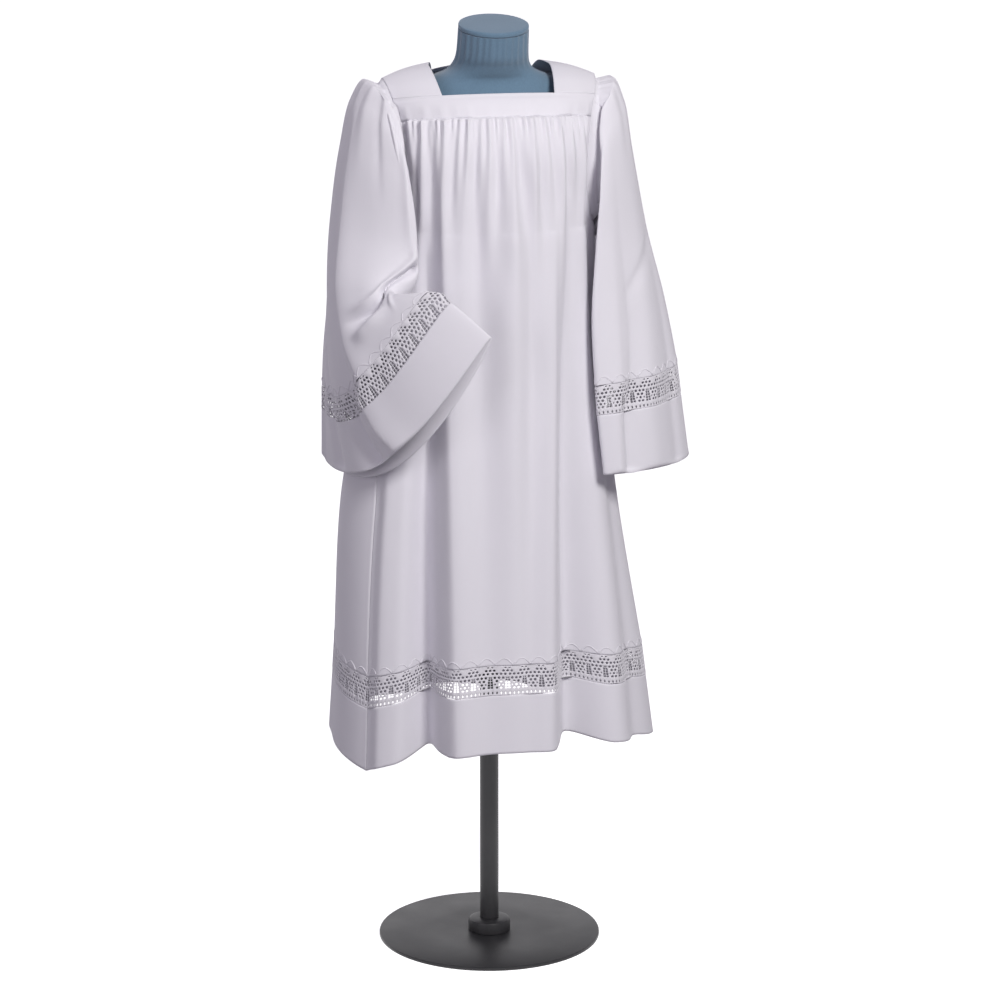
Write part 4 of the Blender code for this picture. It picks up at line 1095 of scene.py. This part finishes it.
class SurpliceCloth(bpy.types.PropertyGroup):
    """Sizes and colours of the cotton and its lace."""

    wall: length("Cloth", "Thickness of the single cloth", 0.0006, 0.0002, 0.002)
    doubled: length("Doubled cloth", "Thickness of the doubled yoke and hems", 0.0012, 0.0004, 0.004)
    lace_wall: length("Lace", "Thickness of the lace", 0.0008, 0.0002, 0.002)
    yoke_proud: length("Yoke over gathers", "How far the yoke's edge stands off", 0.0036, 0.0, 0.01)
    weave: length("Weave", "Distance between threads", 0.0011, 0.0003, 0.004)
    repeat: length("Lace repeat", "Length of one repeat of the lace", LACE_REPEAT, 0.015, 0.06)
    stitch: length("Stitch", "Length from stitch to stitch", 0.0029, 0.0015, 0.006)
    thread: length("Thread", "Half the width of the sewing thread", 0.00028, 0.0001, 0.001)
    colour: tint("Cloth colour", "Colour of the cotton", (0.80, 0.785, 0.835))
    lace_colour: tint("Lace colour", "Colour of the lace thread", (0.80, 0.785, 0.83))
    roughness: fraction("Cloth roughness", "Roughness of the cotton", 0.82)


class SurpliceForm(bpy.types.PropertyGroup):
    """Colours of the dress form and its stand."""

    jersey: tint("Jersey colour", "Colour of the form's cover", (0.135, 0.225, 0.315))
    steel: tint("Stand colour", "Colour of the stand's powder coat", (0.022, 0.022, 0.024))
    jersey_roughness: fraction("Jersey roughness", "Roughness of the cover", 0.9)
    steel_roughness: fraction("Stand roughness", "Roughness of the powder coat", 0.42)


class SurpliceStage(bpy.types.PropertyGroup):
    """The floor, the lights and the camera."""

    key: amount("Key light", "Strength of the main light", 162.0, "POWER")
    fill: amount("Fill light", "Strength of the soft fill", 30.0, "POWER")
    sky: amount("Room light", "Strength of the light from all round", 0.22)
    glow: amount("Sweep glow", "How much the floor and backdrop shine by themselves", 0.85)
    paper: tint("Sweep colour", "Colour of the floor and the backdrop", (0.93, 0.93, 0.935))
    distance: length("Camera distance", "From the camera to the middle of the view", 6.5, 2.0, 20.0)
    span: length("View width", "Width of the view at its middle", 1.685, 0.5, 5.0)
    azimuth: amount("Azimuth", "Turn of the camera", math.radians(-10.5), "ROTATION")
    elevation: amount("Elevation", "Height of the camera over the horizon", math.radians(14.0), "ROTATION")


# ---------------------------------------------------------------- building the pieces
def finish_of(context, key):
    """The finish by that name, made when it is first asked for."""
    made = bpy.data.materials.get(key)
    if made is not None:
        return made
    cloth, form = context.scene.surplice_cloth, context.scene.surplice_form
    if key == "cotton":
        return cloth_finish(key, tuple(cloth.colour), cloth.roughness, cloth.weave, 0.9)
    if key == "lace_thread":
        return lace_finish(key, tuple(cloth.lace_colour), cloth.roughness)
    if key == "marled_jersey":
        return jersey_finish(key, tuple(form.jersey), form.jersey_roughness)
    if key == "black_powder_coat":
        return powder_coat_finish(key, tuple(form.steel), form.steel_roughness)
    raise RuntimeError("no finish is called " + key)


def body_columns(count):
    """Even columns of the body, side seam to side seam."""
    return np.linspace(-1.0, 1.0, count)


def neck_share():
    """The column coordinate of the neckline's corner."""
    half, end = FRONT_ROWS["left_half"][0], FRONT_ROWS["left_end"][0]
    return math.degrees(math.asin(NECK_CORNER_X / half)) / end


def outwards(points, by, towards):
    """Moves a body grid off the body by an amount, along its own normals."""
    down, across = np.gradient(points, axis=0), np.gradient(points, axis=1)
    normal = np.cross(across, down) * towards
    normal /= np.maximum(np.linalg.norm(normal, axis=-1, keepdims=True), 1e-9)
    return points + normal * by


def yoke_points(side, proud, columns=180, rows=26):
    """The yoke: smooth over the chest, its lower edge laid over the gathers and a little uneven."""
    u = body_columns(columns)
    v = np.linspace(YOKE_TOP, YOKE_END, rows)
    points = body_grid(side, v, u, yoke=True)
    low = ease((v - YOKE_LIFTS_FROM) / YOKE_LIFTS_OVER)[:, None]
    inner = 1.0 - ease((np.abs(u) - YOKE_SIDE) / YOKE_SIDE_OVER)
    lifted = inner * (0.8 + 0.2 * wander(11, u, 34, 1.0))
    off = YOKE_CLEAR + (proud - YOKE_CLEAR) * low * lifted[None, :]
    points = outwards(points, off[..., None], SIDES[side][3])
    uneven = wander(12 if side == "front" else 13, u, 26, 0.0016) + wander(14, u, 60, 0.0006)
    points[..., 2] += low * uneven[None, :]
    return points


def strap_points(sign, steps=48, across=30):
    """The strap over one shoulder, from the front yoke's top edge to the back yoke's."""
    u = np.linspace(neck_share(), 1.0, across) * sign
    order = np.argsort(u)
    edges = []
    for side in ("front", "back"):
        row = np.empty((across, 3))
        row[order] = body_grid(side, np.array([YOKE_TOP, 0.001]), u[order], yoke=True)[0]
        edges.append(row)
    return strap_grid(sign, edges[0], edges[1], steps)


def sleeve_turns(count):
    """Even turns round the sleeve, from the underarm round by the front."""
    return -90.0 + 360.0 * np.arange(count) / count


def armhole_points(sign, turns):
    v = np.linspace(YOKE_TOP, UNDERARM, 61)
    loop, loop_turns = armhole_loop(sign, v, strap_points(sign))
    wide = np.append(loop_turns, loop_turns[0] + 360.0)
    closed = np.concatenate([loop, loop[:1]])
    return np.stack([np.interp(turns, wide, closed[:, k]) for k in range(3)], axis=-1)


def crease_line(crease, at):
    """Where a crease lies, and how deep it is there."""
    knots = np.array(crease["line"], float)
    gone = np.clip((at - knots[0, 0]) / (knots[-1, 0] - knots[0, 0]), 0.0, 1.0)
    shown = ease(gone / crease["start"]) * ease((1.0 - gone) / crease["end"])
    return smooth_through(knots[:, 0], knots[:, 1], at), crease["depth"] * shown


def crease_shape(crease, away):
    return bump(away, np.where(away < 0, crease["before"], crease["after"]))


def crease_height(side, turns, w, around):
    """Creases of a sleeve: long ones run down it at a turn, cross ones run round it at a height."""
    high = np.zeros((len(w), len(turns)))
    for crease in rows_of(CREASE_COLUMNS, LONG_CREASES[side]):
        centre, depth = crease_line(crease, w)
        away = (turns[None, :] - centre[:, None] + 180.0) % 360.0 - 180.0
        high += depth[:, None] * crease_shape(crease, away * around[:, None] / 360.0)
    for crease in rows_of(CREASE_COLUMNS, CROSS_CREASES[side]):
        first = crease["line"][0][0]
        near = (turns - first + 180.0) % 360.0 - 180.0 + first
        near = np.where(near < first - 90.0, near + 360.0, near)
        centre, depth = crease_line(crease, near)
        high += depth[None, :] * crease_shape(crease, (w[:, None] - centre[None, :]) * SLEEVE_LONG)
    return high


def sleeve_points(sign, turns, w):
    """The sleeve's loops with their pleats and creases."""
    side, table = ("left", HANGING_LOOPS) if sign > 0 else ("right", BENT_LOOPS)
    loops = sleeve_loops(table, armhole_points(sign, turns), turns, w)
    around = np.linalg.norm(np.diff(loops, axis=1, append=loops[:, :1]), axis=-1).sum(axis=1)
    high = pleat_height(turns, w) + crease_height(side, turns, w, around)
    return loops + loop_normals(loops) * high[..., None]


def flat_size(points, closed=False):
    """The width and length of cloth that a grid of points takes, and its area."""
    loops = np.concatenate([points, points[:, :1]], axis=1) if closed else points
    widths = np.linalg.norm(np.diff(loops, axis=1), axis=-1).sum(axis=1)
    lengths = np.linalg.norm(np.diff(points, axis=0), axis=-1).sum(axis=0)
    return (float(widths.max()), float(lengths.max())), float(widths.mean() * lengths.mean())


def declare(piece, node, flat, area):
    """Rides a cloth piece in its CAD node's place."""
    finish_piece(piece, [node], "lace" if "lace" in node else "cloth")


def sew(name, node, points, finish, thickness, closed=False, flip=False):
    """Makes one piece of cloth with its wall."""
    piece = cloth_mesh(name, points, finish, closed=closed, flip=flip)
    add_wall(piece, thickness)
    applied(piece)
    flat, area = flat_size(points, closed)
    declare(piece, node, flat, area)


class SURPLICE_OT_body(bpy.types.Operator):
    """Builds the yokes, the shoulder straps and the gathered front and back"""

    bl_idname = "surplice.body"
    bl_label = "Body"

    def execute(self, context):
        sizes = context.scene.surplice_cloth
        cotton = finish_of(context, "cotton")
        for side, (columns, rows) in PANEL_MESH.items():
            front = side == "front"
            upper = np.linspace(PANEL_TOP, PANEL_FINE_TO, rows // 3)[:-1]
            v = np.concatenate([upper, np.linspace(PANEL_FINE_TO, LACE_TOP, rows - rows // 3)])
            points = body_grid(side, v, body_columns(columns))
            sew(side + "_cloth", side + "_panel", points, cotton, sizes.wall, flip=front)
            points = yoke_points(side, sizes.yoke_proud)
            sew(side + "_yoke", "yoke_" + side, points, cotton, sizes.doubled, flip=front)
        for sign, side in HANDS:
            points = strap_points(sign) + np.array([0.0, 0.0, STRAP_LIFT])
            name, node = side + "_shoulder_strap", "shoulder_" + side
            sew(name, node, points, cotton, sizes.doubled, flip=sign < 0)
        return {"FINISHED"}


class SURPLICE_OT_sleeves(bpy.types.Operator):
    """Builds the bell sleeves, with gathered heads, elbow creases and long folds"""

    bl_idname = "surplice.sleeves"
    bl_label = "Sleeves"

    def execute(self, context):
        sizes = context.scene.surplice_cloth
        cotton = finish_of(context, "cotton")
        w = np.linspace(0.0, 1.0, SLEEVE_RINGS) ** SLEEVE_CROWDING
        for sign, side in HANDS:
            points = sleeve_points(sign, sleeve_turns(SLEEVE_SIDES), w)
            name, node = side + "_sleeve", "sleeve_" + side
            sew(name, node, points, cotton, sizes.wall, closed=True, flip=sign > 0)
        return {"FINISHED"}


def edge_bands(ending):
    """Name, CAD node, points, whether it closes and whether it is turned, for each band of a kind."""
    body, sleeve, rows = BANDS[ending]
    for side in SIDES:
        points = body_grid(side, np.linspace(*body, rows), body_columns(BAND_COLUMNS[side]))
        yield side + "_hem" + ending, "hem" + ending + "_" + side, points, False, side == "front"
    for sign, side in HANDS:
        points = sleeve_points(sign, sleeve_turns(BAND_COLUMNS["sleeve"]), np.linspace(*sleeve, rows))
        yield side + "_cuff" + ending, "cuff" + ending + "_" + side, points, True, sign > 0


def repeats_along(ground, size):
    """The pitch, count and start of a row of repeats along a cloth, and the cloth's depth."""
    low, high, depth = chart_of(ground)
    count = max(FEWEST_REPEATS, round((high - low) / size))
    pitch = (high - low) * LACE_SLACK / count
    return (pitch, count, low + pitch / 2 + LACE_INSET), depth


class SURPLICE_OT_lace(bpy.types.Operator):
    """Lays the pierced lace round the hem and both sleeves"""

    bl_idname = "surplice.lace"
    bl_label = "Lace"

    def execute(self, context):
        sizes = context.scene.surplice_cloth
        thread = finish_of(context, "lace_thread")
        for name, node, points, closed, flip in edge_bands("_lace"):
            ground = cloth_mesh(name + "_ground", points, thread, closed=closed, flip=flip)
            row, depth = repeats_along(ground, sizes.repeat)
            motif = lace_motif(row[0], depth - 2 * LACE_GAP)
            band = lay_along(name, motif, ground, thread, *row, -LACE_GAP, wall=sizes.lace_wall)
            bpy.data.objects.remove(ground)
            flat, area = flat_size(points, closed)
            declare(band, node, flat, area * LACE_SOLID)
        return {"FINISHED"}


class SURPLICE_OT_hems(bpy.types.Operator):
    """Builds the deep doubled hems below the lace, of the body and of the sleeves"""

    bl_idname = "surplice.hems"
    bl_label = "Hems and cuffs"

    def execute(self, context):
        sizes = context.scene.surplice_cloth
        cotton = finish_of(context, "cotton")
        for name, node, points, closed, flip in edge_bands(""):
            sew(name, node, points, cotton, sizes.doubled, closed, flip)
        return {"FINISHED"}


class SURPLICE_OT_sewing(bpy.types.Operator):
    """Lays the scalloped cords above the lace and the rows of stitches"""

    bl_idname = "surplice.sewing"
    bl_label = "Scallops and stitches"

    def execute(self, context):
        sizes = context.scene.surplice_cloth
        cotton, thread = finish_of(context, "cotton"), finish_of(context, "lace_thread")
        cords, rows = [], []
        stitch = stitch_motif(sizes.stitch * STITCH_SHARE, sizes.thread, sizes.thread * THREAD_ROUNDNESS)
        for name, _, points, closed, flip in edge_bands("_above"):
            ground = cloth_mesh(name + "_ground", points, cotton, closed=closed, flip=flip)
            row, depth = repeats_along(ground, sizes.repeat)
            for k, (half, lift) in enumerate(SCALLOP_CORDS):
                x = np.linspace(-row[0] / 2, row[0] / 2, SCALLOP_STEPS)
                wave = 0.5 + 0.5 * np.cos(2 * math.pi * x / row[0])
                y = SCALLOP_LOW + lift + (SCALLOP_HIGH - SCALLOP_LOW - lift) * wave**SCALLOP_POWER
                motif = cord_motif("scallop", np.stack([x, y], axis=-1), half, half * CORD_ROUNDNESS)
                cords.append(lay_along(f"{name}_scallop_{k}", motif, ground, thread, *row, -depth))
            bpy.data.objects.remove(ground)
        finish_piece(joined("scalloped_cords", cords), [], "lace")

        edges = [(name, *band, True) for name, _, *band in edge_bands("")]
        for side in SIDES:
            edges.append((side, yoke_points(side, sizes.yoke_proud), False, side == "front", False))
        for name, points, closed, flip, is_hem in edges:
            ground = cloth_mesh(name + "_ground", points, cotton, closed=closed, flip=flip)
            low, high, depth = chart_of(ground)
            count = int((high - low) / sizes.stitch)
            pitch = (high - low) / count
            row = (pitch, count, low + pitch / 2, -HEM_STITCHES if is_hem else YOKE_STITCHES - depth)
            rows.append(lay_along(name + "_stitches", stitch.copy(), ground, cotton, *row))
            bpy.data.objects.remove(ground)
        finish_piece(joined("stitches", rows), [], "cloth")
        return {"FINISHED"}


def chart_of(piece):
    """The lowest and highest coordinate across a cloth, and the depth of it."""
    layer = piece.data.uv_layers["cloth"].data
    flat = np.empty(len(layer) * 2, np.float32)
    layer.foreach_get("uv", flat)
    flat = flat.reshape(-1, 2)
    return float(flat[:, 0].min()), float(flat[:, 0].max()), float(-flat[:, 1].min())


def rings_mesh(name, rings, finish):
    """A closed solid through rings of points, with both ends filled."""
    rings = np.asarray(rings)
    mesh = bpy.data.meshes.new(name)
    mesh.from_pydata(rings.reshape(-1, 3).tolist(), [], ring_faces(*rings.shape[:2]))
    mesh.shade_smooth()
    mesh.set_sharp_from_angle(angle=math.radians(42.0))
    mesh.materials.append(finish)
    return link(name, mesh)


def tilted_ring(angles, half, depth, centre, tilt):
    """A ring whose front leans down by the tilt, in degrees."""
    lean = np.radians(tilt)
    aside, ahead = np.array([1.0, 0.0, 0.0]), np.array([0.0, -math.cos(lean), -math.sin(lean)])
    return centre + np.sin(angles)[:, None] * half * aside + np.cos(angles)[:, None] * depth * ahead


class SURPLICE_OT_form(bpy.types.Operator):
    """Builds the dress form: the jersey cover, gathered under the neck's cap, and the cap"""

    bl_idname = "surplice.form"
    bl_label = "Dress form"

    def execute(self, context):
        jersey = finish_of(context, "marled_jersey")
        angles = np.linspace(0.0, 2 * math.pi, FORM_SIDES, endpoint=False)
        turn = (np.degrees(angles) + 180.0) % 360.0 - 180.0
        last = FORM_ROWS["row"][-1]
        at = np.concatenate(
            [np.linspace(0.0, BUST_ROW, BUST_STEPS)[:-1], np.linspace(BUST_ROW, last, NECK_STEPS)]
        )
        values = {name: column(FORM_ROWS, name, at) for name in ("z", "half", "depth", "ahead", "tilt")}
        rings = []
        for k, row in enumerate(at):
            centre = np.array([0.0, -values["ahead"][k], values["z"][k]])
            ring = tilted_ring(angles, values["half"][k], values["depth"][k], centre, values["tilt"][k])
            grown = np.zeros_like(angles)
            shown = float(ease((row - GATHERS_FROM) / GATHERS_OVER))
            for place, width, depth in NECK_GATHERS:
                away = (turn - place + 180.0) % 360.0 - 180.0
                grown += depth * shown * bump(away, width * (1.5 - 0.5 * shown))
            out = ring - centre
            out /= np.linalg.norm(out, axis=1, keepdims=True)
            rings.append(ring + out * grown[:, None])
        cover = rings_mesh("jersey_cover", rings, jersey)
        finish_piece(cover, ["form_body"], "jersey")
        lean = math.radians(NECK_TILT)
        up = np.array([0.0, -math.sin(lean), math.cos(lean)])
        top = np.array([0.0, NECK_TOP_Y, NECK_TOP_Z])
        # A soft lower edge, a rounder upper one, and the flat top
        profile = [
            (NECK_RADIUS - 0.0020, -CAP_THICK), (NECK_RADIUS - 0.0004, -CAP_THICK + 0.0008),
            (NECK_RADIUS, -CAP_THICK + 0.0022), (NECK_RADIUS, -0.0026), (NECK_RADIUS - 0.0006, -0.0010),
            (NECK_RADIUS - 0.0022, -0.0002), (NECK_RADIUS - 0.0060, 0.0), (NECK_RADIUS * 0.4, 0.0),
        ]
        rings = [tilted_ring(angles, r, r, top + up * z, NECK_TILT) for r, z in profile]
        finish_piece(rings_mesh("neck_top", rings, jersey), ["neck_cap"], "jersey")
        return {"FINISHED"}


class SURPLICE_OT_stand(bpy.types.Operator):
    """Builds the stand: a round base plate, its flange, the pole and the socket under the form"""

    bl_idname = "surplice.stand"
    bl_label = "Stand"

    def execute(self, context):
        coat = finish_of(context, "black_powder_coat")
        hips = FORM_ROWS["z"][0]
        foot = BASE_THICK + CLEAR
        pole_foot = foot + FLANGE_HEIGHT + CLEAR
        socket_foot = hips - CLEAR - SOCKET_LENGTH
        soft = 0.0008  # the small rounding of an edge

        def disc(radius, low, high, bevel, last):
            """A turned disc's profile: a soft lower edge, a bevelled upper one and the flat top."""
            part = bevel * 0.3
            return [
                (radius - soft, low), (radius, low + soft), (radius, high - bevel),
                (radius - part, high - part), (radius - bevel, high), (last, high),
            ]

        profiles = {
            "stand_base": disc(BASE_RADIUS, 0.0, BASE_THICK, BASE_BEVEL, BASE_RADIUS * 0.5),
            "stand_flange": disc(FLANGE_RADIUS, foot, foot + FLANGE_HEIGHT, FLANGE_BEVEL, POLE_RADIUS),
            "stand_pole": [(POLE_RADIUS, pole_foot), (POLE_RADIUS, socket_foot - CLEAR)],
            "stand_socket": [
                (SOCKET_RADIUS - soft * 2, socket_foot),
                (SOCKET_RADIUS - soft * 0.5, socket_foot + soft * 0.5),
                (SOCKET_RADIUS, socket_foot + soft * 2), (SOCKET_RADIUS, hips - CLEAR),
            ],
        }
        angles = np.linspace(0.0, 2 * math.pi, TURNED_SIDES, endpoint=False)
        for node, profile in profiles.items():
            rings = [tilted_ring(angles, r, r, np.array([0.0, 0.0, z]), 0.0) for r, z in profile]
            made = rings_mesh(node.replace("stand_", "steel_"), rings, coat)
            finish_piece(made, [node], "stand")
        return {"FINISHED"}


def turned_to(thing, ahead):
    """Points a light or a camera along a direction."""
    thing.rotation_mode = "QUATERNION"
    thing.rotation_quaternion = ahead.to_track_quat("-Z", "Y")


class SURPLICE_OT_stage(bpy.types.Operator):
    """Sets the pale sweep, the soft lights and the camera"""

    bl_idname = "surplice.stage"
    bl_label = "Stage"

    def execute(self, context):
        scene, sizes = context.scene, context.scene.surplice_stage
        paper = paper_finish("pale_paper", tuple(sizes.paper), sizes.glow)
        curve = [(SWEEP_NEAR, 0.0)] + [
            (SWEEP_FAR + SWEEP_BEND * math.sin(a), SWEEP_BEND - SWEEP_BEND * math.cos(a))
            for a in np.linspace(0.0, math.pi / 2, 24)
        ]
        curve.append((SWEEP_FAR + SWEEP_BEND, SWEEP_TALL))
        points = [(x, y, z) for y, z in curve for x in (-SWEEP_HALF, SWEEP_HALF)]
        faces = [[2 * k, 2 * k + 1, 2 * k + 3, 2 * k + 2] for k in range(len(curve) - 1)]
        mesh = bpy.data.meshes.new("sweep")
        mesh.from_pydata(points, [], faces)
        mesh.shade_smooth()
        mesh.materials.append(paper)
        sweep = link("sweep", mesh)
        sweep.visible_diffuse = False

        for name, (strength, part, size, place, colour) in LIGHTS.items():
            lamp = bpy.data.lights.new(name, "AREA")
            lamp.color = colour
            lamp.energy, lamp.size, lamp.shape = getattr(sizes, strength) * part, size, "SQUARE"
            lit = bpy.data.objects.new(name, lamp)
            lit.location = place
            turned_to(lit, Vector(LIGHTS_AIM) - Vector(place))
            scene.collection.objects.link(lit)
        room = bpy.data.worlds.new("room")
        room.use_nodes = True
        light = room.node_tree.nodes["Background"]
        light.inputs["Color"].default_value = ROOM_COLOUR
        light.inputs["Strength"].default_value = sizes.sky
        scene.world = room
        scene.view_settings.view_transform = "Standard"

        eye = bpy.data.cameras.new("camera")
        eye.sensor_width = SENSOR_WIDTH
        eye.lens = SENSOR_WIDTH * sizes.distance / sizes.span
        camera = bpy.data.objects.new("camera", eye)
        level = math.cos(sizes.elevation)
        back = Vector(
            (math.sin(sizes.azimuth) * level, -math.cos(sizes.azimuth) * level, math.sin(sizes.elevation))
        )
        camera.location = Vector(VIEW_MIDDLE) + back * sizes.distance
        turned_to(camera, -back)
        scene.collection.objects.link(camera)
        scene.camera = camera
        return {"FINISHED"}


class SURPLICE_PT_panel(bpy.types.Panel):
    """The surplice's sizes, colours and steps"""

    bl_label = "Surplice"
    bl_idname = "SURPLICE_PT_panel"
    bl_space_type = "VIEW_3D"
    bl_region_type = "UI"
    bl_category = "Surplice"

    def draw(self, context):
        for key in GROUPS:
            group, box = getattr(context.scene, key), self.layout.box()
            for name in type(group).__annotations__:
                box.prop(group, name)
        for step in STEPS:
            self.layout.operator(step.bl_idname)


STEPS = (
    SURPLICE_OT_stage,
    SURPLICE_OT_form,
    SURPLICE_OT_stand,
    SURPLICE_OT_body,
    SURPLICE_OT_sleeves,
    SURPLICE_OT_lace,
    SURPLICE_OT_hems,
    SURPLICE_OT_sewing,
)
GROUPS = {"surplice_cloth": SurpliceCloth, "surplice_form": SurpliceForm, "surplice_stage": SurpliceStage}
CLASSES = (*GROUPS.values(), *STEPS, SURPLICE_PT_panel)


def register():
    for made in CLASSES:
        bpy.utils.register_class(made)
    for name, group in GROUPS.items():
        setattr(bpy.types.Scene, name, PointerProperty(type=group))


def unregister():
    for name in GROUPS:
        delattr(bpy.types.Scene, name)
    for made in reversed(CLASSES):
        bpy.utils.unregister_class(made)


def main():
    register()
    for step in STEPS:
        family, name = step.bl_idname.split(".")
        getattr(getattr(bpy.ops, family), name)()


if __name__ == "__main__":
    main()
